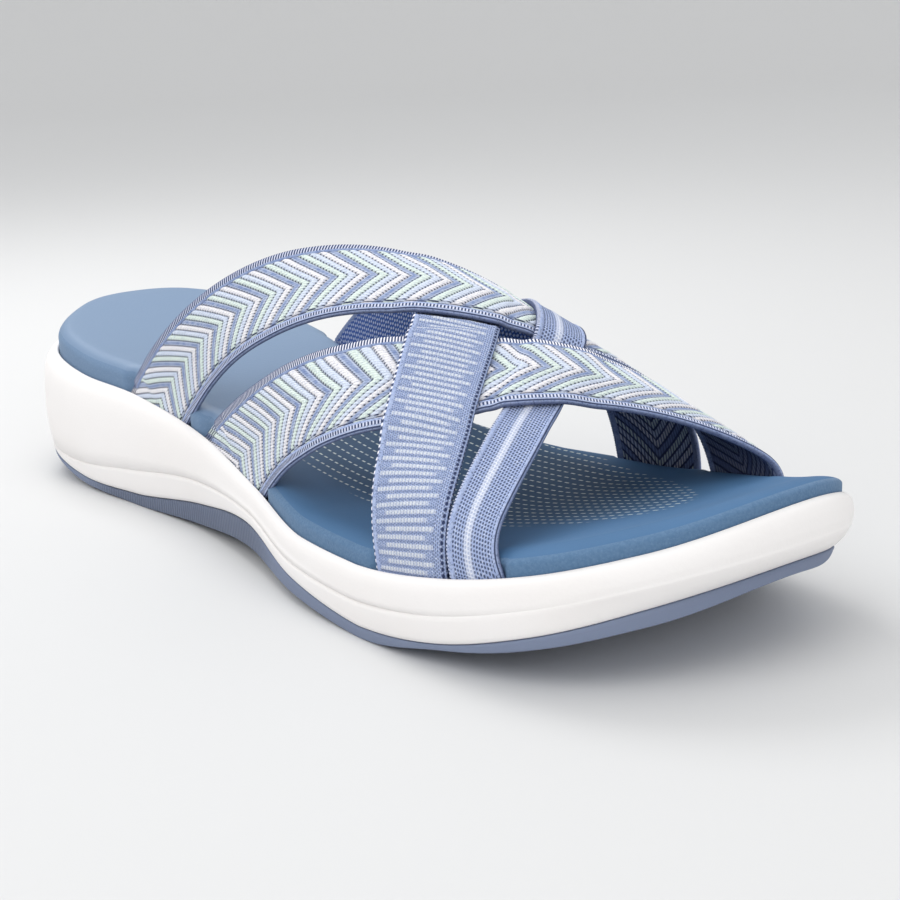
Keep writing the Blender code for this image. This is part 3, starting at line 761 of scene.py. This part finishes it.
def build_chevron_strap(form, name, start, cream, light):
    """A wide strap of raised cords in a run of Vs whose points lead to the big toe's side.

    start shifts the cords along the strap, cream is the strength of the heel edge's pale stitches and light that of
    the cords' colours on its back; a low light darkens the back as painted shade.
    """
    size, colours = form.size, form.colours
    path = StrapPath(form, name)
    low, high = CORD_ENDS
    ends = np.array([0.0, 0.022, 0.055, 0.10])
    side = np.concatenate([low + ends, np.linspace(low + 0.15, -0.03, 12)])
    other = np.concatenate([np.linspace(0.03, high - 0.15, 12), (high - ends)[::-1]])
    columns = np.concatenate([[-CLOTH_EDGE, low - 0.02], side, [0.0], other, [high + 0.02, CLOTH_EDGE]])
    rows, rise = cord_rows(path, size.chevron_pitch, start, spare=0.028, heights=(0.62, 1.0, 1.0, 1.0))
    near = np.clip(np.minimum(columns - low, high - columns) / 0.10, 0, 1)
    fade = np.sqrt(np.clip(1 - (1 - near) ** 2, 0, 1))
    relief = rise[:, None] * fade[None, :] * size.chevron_height
    webbing(path, f"strap_{name}_chevron", [chevron_cloth(form, start), chevron_reverse(form, start, light)],
            rows, columns, relief, CORD_SLANT, CORD_SHEAR[name])
    heel = stitched_edge(form, "heel_stitches_" + name, size.stitch_pitch, -0.02, 0.20, colours.periwinkle, cream)
    edge_binding(path, f"strap_{name}_heel_edge", heel, -1, TEETH_SECTION, size.stitch_pitch, tooth=0.00012)
    toe = stitched_edge(form, "toe_stitches_" + name, size.stitch_pitch, 0.075, 0.18, colours.knit, 0.55)
    edge_binding(path, f"strap_{name}_toe_edge", toe, 1, PIPING_SECTION, size.stitch_pitch, tooth=0.00010)


def build_rear_strap(form):
    build_chevron_strap(form, "rear", start=0.0076, cream=0.60, light=0.42)


def build_front_strap(form):
    # The front strap's back gets only faint dashes: painted shade for the shade that back lies in.
    build_chevron_strap(form, "front", start=0.0022, cream=0.95, light=0.12)


def build_ribbed_strap(form):
    size = form.size
    path = StrapPath(form, "ribbed")
    rows, rise = cord_rows(path, size.rib_pitch, start=0.0, spare=ROWS_SPARE, heights=(1.0,))
    columns = np.concatenate([[-CLOTH_EDGE, -0.90], np.linspace(-0.84, 0.72, 22), [0.80, CLOTH_EDGE]])
    relief = rise[:, None] * hill(columns, -0.90, 0.06, 0.80, 0.08) * size.rib_height
    webbing(path, "strap_ribbed_cloth", [ribbed_cloth(form), knit_reverse(form)], rows, columns, relief,
            shear=RIB_SHEAR)
    heel = stitched_edge(form, "picot_stitches", size.picot_pitch, -0.02, 0.065, form.colours.knit, 0.95)
    edge_binding(path, "strap_ribbed_heel_edge", heel, -1, TEETH_SECTION, size.picot_pitch, tooth=0.00010, scale=0.60)
    edge_binding(path, "strap_ribbed_toe_edge", dotted_edge(form), 1, TEETH_SECTION, size.stitch_pitch, tooth=0.00004)


def build_striped_strap(form):
    size, knit = form.size, form.colours.knit
    path = StrapPath(form, "striped")
    stripe_height, step = 0.00012, 0.0010
    rows = np.arange(-ROWS_SPARE, path.length + ROWS_SPARE, step)
    columns = np.concatenate([[-CLOTH_EDGE], np.linspace(-0.92, 0.78, 26), [0.84, CLOTH_EDGE]])
    relief = np.tile(hill(columns, -0.30, 0.12, 0.10, 0.12) * stripe_height, (len(rows), 1))
    webbing(path, "strap_striped_cloth", [striped_cloth(form), knit_reverse(form)], rows, columns, relief)
    heel = stitched_edge(form, "striped_heel_stitches", size.stitch_pitch, -0.02, 0.06, knit, 0.4)
    edge_binding(path, "strap_striped_heel_edge", heel, -1, TEETH_SECTION, size.stitch_pitch, tooth=0.00008,
                 scale=0.55)
    fold = stitched_edge(form, "folded_edge", size.stitch_pitch, 0.070, 0.071, knit, 0.0)
    edge_binding(path, "strap_striped_toe_edge", fold, 1, PIPING_SECTION, size.picot_pitch, tooth=0.0, scale=0.42)


def add_node(tree, kind, inputs=(), **settings):
    """A node with its settings, its inputs linked to values or set to plain ones."""
    node = tree.nodes.new(kind)
    for key, value in settings.items():
        setattr(node, key, value)
    for key, value in dict(inputs).items():
        target = node.inputs[key]
        if isinstance(value, Value):
            tree.links.new(value.socket, target)
        else:
            target.default_value = (*value[:3], 1.0) if target.type == "RGBA" else value
    return node


def math_step(operation):
    """A method that adds a math node for a value and the operands after it."""
    def step(self, *others):
        node = add_node(self.tree, "ShaderNodeMath", enumerate((self, *others)), operation=operation)
        return Value(node.outputs[0])
    return step


class Value:
    """A node's output that reckons like a plain number, with a math node for each step."""

    def __init__(self, socket):
        self.socket = socket
        self.tree = socket.id_data

    __add__ = math_step("ADD")
    __sub__ = math_step("SUBTRACT")
    __mul__ = math_step("MULTIPLY")
    __truediv__ = math_step("DIVIDE")
    __mod__ = math_step("FLOORED_MODULO")
    __abs__ = math_step("ABSOLUTE")
    floor = math_step("FLOOR")
    fract = math_step("FRACT")
    sine = math_step("SINE")
    root = math_step("SQRT")
    top = math_step("MAXIMUM")
    near = math_step("COMPARE")

    def __rsub__(self, other):
        node = add_node(self.tree, "ShaderNodeMath", {0: other, 1: self}, operation="SUBTRACT")
        return Value(node.outputs[0])

    def axes(self):
        return [Value(socket) for socket in add_node(self.tree, "ShaderNodeSeparateXYZ", {0: self}).outputs]


def smooth(value, low, high):
    """0 below low, 1 above high, and eased between; the other way round where low is above high."""
    node = add_node(value.tree, "ShaderNodeMapRange", {"Value": value, "From Min": low, "From Max": high},
                    interpolation_type="SMOOTHSTEP")
    return Value(node.outputs["Result"])


def between(value, low, full, fading, gone):
    """1 from full to fading, 0 below low and beyond gone."""
    return smooth(value, low, full) * (1.0 - smooth(value, fading, gone))


def blend(share, low, high):
    """A colour that share, from 0 to 1, leads from low to high."""
    # The mix node has sockets of every kind, and these are its colours.
    first, second, result = 6, 7, 2
    node = add_node(share.tree, "ShaderNodeMix", {0: share, first: low, second: high}, data_type="RGBA")
    return Value(node.outputs[result])


def mixed(low, high, share):
    return tuple((1 - share) * a + share * b for a, b in zip(low, high))


def scaled(base, *factors):
    return tuple(value * factor for value, factor in zip(base, factors * (3 // len(factors))))


def effect(name, vector, numbers, reckon):
    """The node group of that name, made once: a vector and named numbers go in, and reckon's named values out."""
    if name in bpy.data.node_groups:
        return bpy.data.node_groups[name]
    group = bpy.data.node_groups.new(name, "ShaderNodeTree")
    group.interface.new_socket(vector, in_out="INPUT", socket_type="NodeSocketVector")
    for label, default in numbers.items():
        group.interface.new_socket(label, in_out="INPUT", socket_type="NodeSocketFloat").default_value = default
    results = reckon({socket.name: Value(socket) for socket in group.nodes.new("NodeGroupInput").outputs})
    for label in results:
        group.interface.new_socket(label, in_out="OUTPUT", socket_type="NodeSocketFloat")
    add_node(group, "NodeGroupOutput", results)
    return group


def thread_rows():
    """Raised rows of thread across the strap, with stitches along each row.

    A row ends round at the two edges of its field; Gap is 1 between the rows and beyond their ends.
    """
    def reckon(given):
        x, y, _ = given["Map"].axes()
        width = given["Row Width"]
        cord = (x - y * given["Shear"] - given["Start"]) / width
        number = (cord % given["Row Count"]).floor()
        share = cord.fract()
        beyond = (y - given["Toe End"]).top(given["Heel End"] - y)
        cap = ((width * 0.45 + beyond) / width).top(0.0)
        middle = abs(share - 0.5)
        far = (middle * middle + cap * cap).root()
        shifted = number * 0.37 + y / given["Stitch"]
        return {"Number": number, "Share": share, "Gap": smooth(far, 0.30, 0.43),
                "Bead": abs((shifted * np.pi).sine())}
    return effect("Thread Rows", "Map", {"Shear": 0.0, "Row Width": 0.23, "Start": 0.0, "Row Count": 4.0,
                                         "Stitch": 0.08, "Heel End": -9.0, "Toe End": 9.0}, reckon)


def soft_grain():
    """Uneven tint and fine height for foam, cloth and rubber."""
    def noise(place, scale, detail, roughness):
        return Value(add_node(place.tree, "ShaderNodeTexNoise", {
            "Vector": place, "Scale": scale, "Detail": detail, "Roughness": roughness}).outputs[0])

    def reckon(given):
        fine = noise(given["Place"], given["Scale"], 3.0, 0.6)
        broad = noise(given["Place"], given["Patches"], 2.0, 0.5)
        return {"Height": fine, "Tint": smooth(broad, 0.3, 0.7), "Speck": smooth(fine, 0.52, 0.66)}
    return effect("Soft Grain", "Place", {"Scale": 900.0, "Patches": 60.0}, reckon)


def dotted_rows():
    """A regular field of small dots, each row shifted by a share of a step against the last."""
    def reckon(given):
        x, y, _ = given["Map"].axes()
        rows = y / given["Step Across"]
        steps = rows.floor() * given["Shift"] + x / given["Step Along"]
        dx = abs(steps.fract() - 0.5)
        dy = abs(rows.fract() - 0.5)
        far = (dx * dx + dy * dy).root()
        return {"Dots": 1.0 - smooth(far, given["Dot"] * 0.6, given["Dot"])}
    return effect("Dotted Rows", "Map", {"Step Along": 0.12, "Step Across": 0.08, "Shift": 0.5, "Dot": 0.3}, reckon)


class Skin:
    """A new material with its shader, the cloth's map, in centimetres, and the place on the object, in metres."""

    def __init__(self, name, roughness, specular=0.3, sheen=0.0):
        self.material = bpy.data.materials.new(name)
        self.material.use_nodes = True
        self.tree = self.material.node_tree
        self.shader = self.tree.nodes["Principled BSDF"].inputs
        for label, value in (("Roughness", roughness), ("Specular IOR Level", specular), ("Sheen Weight", sheen)):
            self.shader[label].default_value = value

    def cloth(self):
        return Value(add_node(self.tree, "ShaderNodeUVMap", uv_map="cloth").outputs[0])

    def place(self):
        return Value(add_node(self.tree, "ShaderNodeTexCoord").outputs["Object"])

    def use(self, group, **inputs):
        """A group's outputs, its inputs given by their names in small letters."""
        given = {key.replace("_", " ").title(): value for key, value in inputs.items()}
        node = add_node(self.tree, "ShaderNodeGroup", given, node_tree=group)
        return {socket.name: Value(socket) for socket in node.outputs}

    def rows(self, **inputs):
        return self.use(thread_rows(), map=self.cloth(), **inputs)

    def dots(self, **inputs):
        return self.use(dotted_rows(), map=self.cloth(), **inputs)["Dots"]

    def grain(self, scale, patches):
        return self.use(soft_grain(), place=self.place(), scale=scale, patches=patches)

    def finish(self, shade, height, distance):
        """The material, with its colour and with a bump of that height and distance."""
        bump = add_node(self.tree, "ShaderNodeBump", {"Height": height, "Distance": distance, "Strength": 1.0})
        self.tree.links.new(bump.outputs[0], self.shader["Normal"])
        self.tree.links.new(shade.socket, self.shader["Base Color"])
        return self.material


def cloth_skin(name, specular=0.12):
    return Skin(name, 0.95, specular)


def cord_colour(colours, number):
    shade = colours.periwinkle
    for place, cord in ((1.0, colours.mint), (2.0, colours.pale_blue), (3.0, colours.white)):
        shade = blend(number.near(place, SAME), shade, cord)
    return shade


def chevron_cloth(form, start):
    """Four colours of cord in turn, with dark stitches in the gaps."""
    colours = form.colours
    skin = cloth_skin("chevron_webbing")
    cords = skin.rows(row_width=form.size.chevron_pitch * 100, start=start * 100, stitch=0.066,
                      heel_end=CORD_ENDS[0] * CORD_HALF_WIDTH, toe_end=CORD_ENDS[1] * CORD_HALF_WIDTH)
    pits = smooth(cords["Bead"], 0.82, 0.32)
    dark_cord = cords["Number"].near(0.0, SAME)
    stitch = cords["Gap"] * pits.top(dark_cord * 0.20 + 0.30)
    grain = skin.grain(2400.0, 700.0)
    shade = cord_colour(colours, cords["Number"])
    shade = blend(grain["Speck"] * 0.40, shade, colours.periwinkle)
    shade = blend(grain["Tint"] * (dark_cord * 0.35), shade, colours.pale_blue)
    flank = smooth(abs(cords["Share"] - 0.5), 0.15, 0.30)
    shade = blend(flank * (dark_cord * 0.55), shade, colours.pale_blue)
    # Painted shade: the dips between the beads along each cord are darkened a little towards navy.
    shade = blend(pits * 0.14, shade, colours.navy)
    return skin.finish(blend(stitch, shade, colours.navy), cords["Bead"] * 0.5 + grain["Height"] * 0.9, 0.00030)


def dashed_reverse(skin, colours, rows, dash, ground, dashes, gap_share):
    """The back of a strap: rows of dashes on a deep ground, with darker gaps."""
    shade = blend(dash * (1.0 - rows["Gap"]), ground, dashes)
    return skin.finish(blend(rows["Gap"] * gap_share, shade, colours.navy), 1.0 - rows["Gap"], 0.00025)


def chevron_reverse(form, start, light):
    """The chevrons' back: navy cloth with the cords' colours in short dashes."""
    colours = form.colours
    skin = cloth_skin("chevron_reverse")
    cords = skin.rows(row_width=form.size.chevron_pitch * 100, start=start * 100, stitch=0.085)
    # The deep navy ground is partly the back's own colour and partly painted shade.
    return dashed_reverse(skin, colours, cords, smooth(cords["Bead"], 0.45, 0.75) * light,
                          mixed(colours.navy, colours.periwinkle, 0.18), cord_colour(colours, cords["Number"]), 0.7)


def knit_reverse(form):
    """The narrow straps' back: deep blue cloth with slanting rows of pale dashes."""
    if "knit_reverse" in bpy.data.materials:
        return bpy.data.materials["knit_reverse"]
    colours = form.colours
    skin = cloth_skin("knit_reverse")
    rows = skin.rows(shear=0.5, row_width=0.12, row_count=2.0, stitch=0.11)
    return dashed_reverse(skin, colours, rows, smooth(rows["Bead"], 0.6, 0.85) * 0.52, colours.reverse,
                          colours.pale_blue, 0.6)


def ribbed_cloth(form):
    """Cross rows on a knitted ground; each row has a run of white beads, and every other run sits further over."""
    colours, pitch = form.colours, form.size.rib_pitch * 100
    skin = cloth_skin("ribbed_webbing")
    rows = skin.rows(row_width=pitch, row_count=2.0, stitch=0.078)
    across = skin.cloth().axes()[1]
    inside = smooth(across - (rows["Number"] * 0.24 - 0.78), 0.0, 0.05)
    inside = inside * smooth(rows["Number"] * 0.30 + 0.58 - across, 0.0, 0.14)
    middle = abs(rows["Share"] - 0.55)
    crest = 1.0 - smooth(middle, 0.18, 0.33)
    grain = skin.grain(2600.0, 900.0)
    beads = rows["Bead"] * (grain["Tint"] * 0.4 + 0.6)
    light = crest * inside * (beads * 0.8 + 0.2)
    # Painted shade: away from each row's crest, in the valleys between the rows, the knit is darkened towards
    # periwinkle.
    shade = blend(smooth(middle, 0.30, 0.50) * 0.35, colours.knit, colours.periwinkle)
    shade = blend(grain["Speck"] * 0.60, shade, colours.pale_blue)
    dots = skin.dots(step_along=pitch / 3, step_across=0.047, dot=0.40)
    shade = blend(dots * 0.42, shade, colours.navy)
    shade = blend(light * 0.78, shade, mixed(colours.mint, colours.white, 0.7))
    return skin.finish(shade, grain["Height"] * 0.9 - dots * 0.5, 0.00025)


def striped_cloth(form):
    """A dotted knit with one pale stripe along it."""
    colours = form.colours
    skin = cloth_skin("striped_webbing")
    dots = skin.dots(step_along=0.082, step_across=0.060, shift=0.33, dot=0.40)
    stripe = between(skin.cloth().axes()[1], -0.18, -0.08, -0.04, 0.06)
    grain = skin.grain(2600.0, 900.0)
    shade = blend(grain["Speck"] * 0.60, colours.knit, colours.pale_blue)
    shade = blend(dots * 0.80 * (1.0 - stripe), shade, colours.navy)
    shade = blend(stripe * (dots * -0.5 + 0.75), shade, mixed(colours.pale_blue, colours.white, 0.5))
    return skin.finish(shade, grain["Height"] * 0.4 - dots, 0.00018)


def stitched_edge(form, name, pitch, near, far, ground, cream):
    """An edge with a band of dark and cream stitches from near to far, in centimetres in from the rim.

    Where near lies inside the rim, the rest is plain piping with its lower side in the shade.
    """
    colours = form.colours
    skin = cloth_skin(name, 0.10)
    along, inward, _ = skin.cloth().axes()
    centre = abs((along / (pitch * 100)).fract() - 0.5)
    stitches = between(inward, near, near + 0.02, far - 0.02, far)
    grain = skin.grain(2400.0, 900.0)
    shade = blend(grain["Tint"] * 0.22, ground, colours.pale_blue)
    shade = blend(grain["Speck"] * 0.50, shade, colours.navy)
    shade = blend((1.0 - smooth(centre, 0.14, 0.26)) * (stitches * cream), shade, colours.white)
    shade = blend(smooth(centre, 0.24, 0.34) * (stitches * 0.92), shade, colours.navy)
    # Painted shade from here on: the edge's inner face, the roll of the rim beside the piping and the line along the
    # rim's underside are darkened towards navy.
    under = 1.0 - smooth(inward, -0.008, 0.004)
    if near > 0:
        piping = between(inward, near - 0.033, near - 0.023, near - 0.010, near)
        shade = blend(piping * cream, shade, colours.pale_blue)
        fold = between(inward, 0.002, 0.010, near - 0.035, near - 0.025)
        dark = (fold * 0.88).top(under * 0.68)
    else:
        seam = 1.0 - smooth(abs(inward - near), 0.008, 0.022)
        dark = (seam * 0.75).top(under * 0.35)
    return skin.finish(blend(dark, shade, colours.navy), grain["Height"], 0.00015)


def dotted_edge(form):
    """A knitted edge with a fine field of dark dots and a row of larger ones along its rim."""
    colours = form.colours
    skin = cloth_skin("dotted_edge", 0.10)
    fine = skin.dots(step_along=0.064, step_across=0.047, dot=0.44)
    rim = skin.dots(step_along=0.110, step_across=0.075, shift=0.0, dot=0.44)
    outer = 1.0 - smooth(skin.cloth().axes()[1], 0.070, 0.075)
    dark = (fine * 0.55).top(outer * (rim * 0.95))
    grain = skin.grain(2400.0, 900.0)
    shade = blend(grain["Speck"] * 0.60, colours.knit, colours.pale_blue)
    return skin.finish(blend(dark, shade, colours.navy), grain["Height"] * 0.6 - dark, 0.00020)


def foam_skin(form):
    foam = form.colours.foam
    skin = Skin("foam_skin", 0.5)
    grain = skin.grain(1400.0, 45.0)
    return skin.finish(blend(grain["Tint"], foam, scaled(foam, 0.985, 0.98, 0.975)), grain["Height"], 0.00004)


def rubber_side(form):
    """Slate rubber with fine upright ribs along the waist."""
    rubber = form.colours.rubber
    skin = Skin("rubber_side", 0.6)
    waist = between(skin.place().axes()[0], -0.085, -0.065, 0.005, 0.030)
    ribs = abs((skin.cloth().axes()[0] * (np.pi / 0.11)).sine())
    grain = skin.grain(1200.0, 60.0)
    # Painted shade: the ribs' valleys are darkened; the whole waist band is also made darker.
    valley = (1.0 - smooth(ribs, 0.15, 0.6)) * waist
    shade = blend((valley * 0.75).top(waist * 0.28), rubber, scaled(rubber, 0.4))
    return skin.finish(shade, ribs * waist + grain["Height"] * 0.15, 0.0003)


def rubber_tread(form):
    """The sole's underside: shallow waves across the tread."""
    rubber = form.colours.rubber
    skin = Skin("rubber_tread", 0.65)
    x, y, _ = skin.place().axes()
    run = (x + (y * 420.0).sine() * 0.0024) / 0.0062
    raised = smooth(abs(run.fract() - 0.5), 0.10, 0.18)
    # Painted shade: the low parts between the waves are darker than the raised ones.
    return skin.finish(blend(raised, scaled(rubber, 0.75), rubber), raised, 0.0006)


def heel_gloss_and_painted_sheen(x):
    """1 at the heel, where feet have smoothed the footbed to a lower roughness and a paler painted sheen is laid on
    its colour, and 0 from the arch on.
    """
    return smooth(x, 0.035, -0.035)


def footbed_side(form):
    """The footbed's side band, a fine heathered cloth."""
    footbed, heel_sheen = form.colours.footbed, form.colours.painted_heel_sheen
    skin = Skin("footbed_side", 0.9, sheen=0.1)
    grain = skin.grain(2200.0, 1500.0)
    light = scaled(footbed, 2.10, 1.45, 1.20)
    shade = blend(grain["Tint"] * 0.4, scaled(footbed, 1.35, 1.08, 0.96), light)
    shade = blend(grain["Speck"] * 0.45, shade, light)
    # Painted sheen: the side band's heel is also led towards the paler heel colour.
    shade = blend(heel_gloss_and_painted_sheen(skin.place().axes()[0]) * (grain["Speck"] * 0.3 + 0.6), shade, heel_sheen)
    return skin.finish(shade, grain["Height"], 0.00012)


def footbed_top(form):
    """Brushed cloth with staggered rows of short pale dashes under the forefoot and the arch."""
    colours, footbed = form.colours, form.colours.footbed
    skin = Skin("footbed_top", 0.7)
    x, y, _ = skin.place().axes()
    heel_sheen = heel_gloss_and_painted_sheen(x)
    skin.tree.links.new((heel_sheen * -0.28 + 0.70).socket, skin.shader["Roughness"])
    rows = (y - x * x * 1.6) / 0.0031
    steps = rows.floor() * 0.5 + x / 0.0020
    dash = 1.0 - smooth(abs(steps.fract() - 0.5), 0.22, 0.32)
    dash = dash * (1.0 - smooth(abs(rows.fract() - 0.5), 0.05, 0.10))
    ex = (x - 0.031) / 0.070
    ey = (y - 0.005) / 0.030
    far = (ex * ex + ey * ey).root()
    grain = skin.grain(1300.0, 40.0)
    mark = dash * ((1.0 - smooth(far, 0.97, 1.0)) * (grain["Speck"] * -0.35 + 0.9))
    shade = blend(grain["Tint"], footbed, scaled(footbed, 0.93))
    # Painted sheen: the heel's colour is led to the paler heel colour; the roughness set above is the real gloss.
    shade = blend(heel_sheen, shade, colours.painted_heel_sheen)
    # Darker ground in the dash field: partly the print and partly painted shade under the straps.
    shade = blend(smooth(far, 1.10, 0.72) * 0.70, shade, scaled(footbed, 0.42))
    return skin.finish(blend(mark, shade, colours.footbed_dash), mark * 0.6 + grain["Height"], 0.00005)


def soft_light(name, place, aim, size, watts):
    lamp = bpy.data.lights.new(name, "AREA")
    lamp.shape = "DISK"
    lamp.size = size
    lamp.energy = watts
    light = bpy.data.objects.new(name, lamp)
    light.location = place
    light.rotation_euler = (Vector(aim) - Vector(place)).to_track_quat("-Z", "Y").to_euler()
    bpy.context.scene.collection.objects.link(light)


def build_stage(stage):
    turns, arc = 96, 12
    cove = stage.cove_radius
    outline = [(stage.floor_radius * share, 0.0) for share in (0.25, 0.5, 0.75, 1.0)]
    for angle in np.linspace(0, np.pi / 2, arc + 1)[1:]:
        outline.append((stage.floor_radius + cove * np.sin(angle), cove * (1 - np.cos(angle))))
    outline.append((stage.floor_radius + cove, stage.wall_height))
    angles = np.linspace(0, 2 * np.pi, turns, endpoint=False)
    points = [(0.0, 0.0, 0.0)]
    points += [(r * np.cos(a), r * np.sin(a), z) for r, z in outline for a in angles]
    faces = [(0, 1 + k, 1 + (k + 1) % turns) for k in range(turns)]
    faces += grid_faces(len(outline), turns, first=1, flip=True, wrap=True)
    mesh = bpy.data.meshes.new("floor")
    mesh.from_pydata(points, [], faces)
    mesh.shade_smooth()
    floor = bpy.data.objects.new("floor", mesh)
    bpy.context.scene.collection.objects.link(floor)
    skin = Skin("pale_floor", 0.8)
    skin.shader["Base Color"].default_value = (*stage.floor_colour, 1.0)
    mesh.materials.append(skin.material)

    world = bpy.data.worlds.new("studio")
    world.use_nodes = True
    sky = world.node_tree.nodes["Background"]
    sky.inputs["Color"].default_value = (*stage.sky_colour, 1.0)
    sky.inputs["Strength"].default_value = stage.sky_strength
    bpy.context.scene.world = world
    bpy.context.scene.view_settings.view_transform = "Standard"
    aim = (0.0, 0.0, 0.03)
    soft_light("key_light", (0.10, -0.80, 0.85), aim, 0.9, stage.key_power)
    soft_light("back_light", (-0.40, 0.02, 0.56), (-0.08, 0.0, 0.04), 0.35, stage.back_power)
    soft_light("toe_light", (0.95, -0.15, 0.30), aim, 0.6, stage.toe_power)

    turn, rise, roll = stage.camera_azimuth, stage.camera_elevation, stage.camera_roll
    back = Vector((np.sin(turn) * np.cos(rise), -np.cos(turn) * np.cos(rise), np.sin(rise)))
    level = Vector((np.cos(turn), np.sin(turn), 0.0))
    upright = back.cross(level)
    right = level * np.cos(roll) + upright * np.sin(roll)
    up = upright * np.cos(roll) - level * np.sin(roll)
    lens = bpy.data.cameras.new("photo_camera")
    lens.lens = stage.camera_lens
    lens.sensor_width = 36.0
    lens.sensor_fit = "HORIZONTAL"
    lens.clip_start = 0.01
    camera = bpy.data.objects.new("photo_camera", lens)
    turned = Matrix((right, up, back)).transposed().to_4x4()
    camera.matrix_world = Matrix.Translation(stage.camera_place) @ turned
    bpy.context.scene.collection.objects.link(camera)
    bpy.context.scene.camera = camera


class SANDAL_OT_outsole(bpy.types.Operator):
    """Builds the rubber outsole with its ribbed waist."""
    bl_idname = "sandal.outsole"
    bl_label = "Outsole"

    def execute(self, context):
        build_outsole(SandalForm(context.scene))
        return {"FINISHED"}


class SANDAL_OT_midsole(bpy.types.Operator):
    """Builds the foam midsole with its side groove."""
    bl_idname = "sandal.midsole"
    bl_label = "Midsole"

    def execute(self, context):
        build_midsole(SandalForm(context.scene))
        return {"FINISHED"}


class SANDAL_OT_footbed(bpy.types.Operator):
    """Builds the contoured footbed."""
    bl_idname = "sandal.footbed"
    bl_label = "Footbed"

    def execute(self, context):
        build_footbed(SandalForm(context.scene))
        return {"FINISHED"}


class SANDAL_OT_chevron_straps(bpy.types.Operator):
    """Builds the two wide straps of raised chevron cords."""
    bl_idname = "sandal.chevron_straps"
    bl_label = "Chevron Straps"

    def execute(self, context):
        form = SandalForm(context.scene)
        build_rear_strap(form)
        build_front_strap(form)
        return {"FINISHED"}


class SANDAL_OT_narrow_straps(bpy.types.Operator):
    """Builds the ribbed strap and the striped strap that cross the chevron ones."""
    bl_idname = "sandal.narrow_straps"
    bl_label = "Ribbed and Striped Straps"

    def execute(self, context):
        form = SandalForm(context.scene)
        build_ribbed_strap(form)
        build_striped_strap(form)
        return {"FINISHED"}


class SANDAL_OT_stage(bpy.types.Operator):
    """Builds the floor, the soft lights and the camera."""
    bl_idname = "sandal.stage"
    bl_label = "Stage"

    def execute(self, context):
        build_stage(context.scene.sandal_stage)
        return {"FINISHED"}


STEPS = (SANDAL_OT_outsole, SANDAL_OT_midsole, SANDAL_OT_footbed, SANDAL_OT_chevron_straps, SANDAL_OT_narrow_straps,
         SANDAL_OT_stage)


class SANDAL_PT_panel(bpy.types.Panel):
    """Lists the sandal's steps."""
    bl_idname = "SANDAL_PT_panel"
    bl_label = "Comfort Sandal"
    bl_space_type = "VIEW_3D"
    bl_region_type = "UI"
    bl_category = "Sandal"

    def draw(self, context):
        for step in STEPS:
            self.layout.operator(step.bl_idname)


CLASSES = (SandalSizes, SandalColours, SandalStage, *STEPS, SANDAL_PT_panel)


def register():
    for item in CLASSES:
        bpy.utils.register_class(item)
    bpy.types.Scene.sandal_sizes = PointerProperty(type=SandalSizes)
    bpy.types.Scene.sandal_colours = PointerProperty(type=SandalColours)
    bpy.types.Scene.sandal_stage = PointerProperty(type=SandalStage)


def unregister():
    del bpy.types.Scene.sandal_stage
    del bpy.types.Scene.sandal_colours
    del bpy.types.Scene.sandal_sizes
    for item in reversed(CLASSES):
        bpy.utils.unregister_class(item)


def main():
    register()
    bpy.ops.sandal.outsole()
    bpy.ops.sandal.midsole()
    bpy.ops.sandal.footbed()
    bpy.ops.sandal.chevron_straps()
    bpy.ops.sandal.narrow_straps()
    bpy.ops.sandal.stage()


if __name__ == "__main__":
    main()
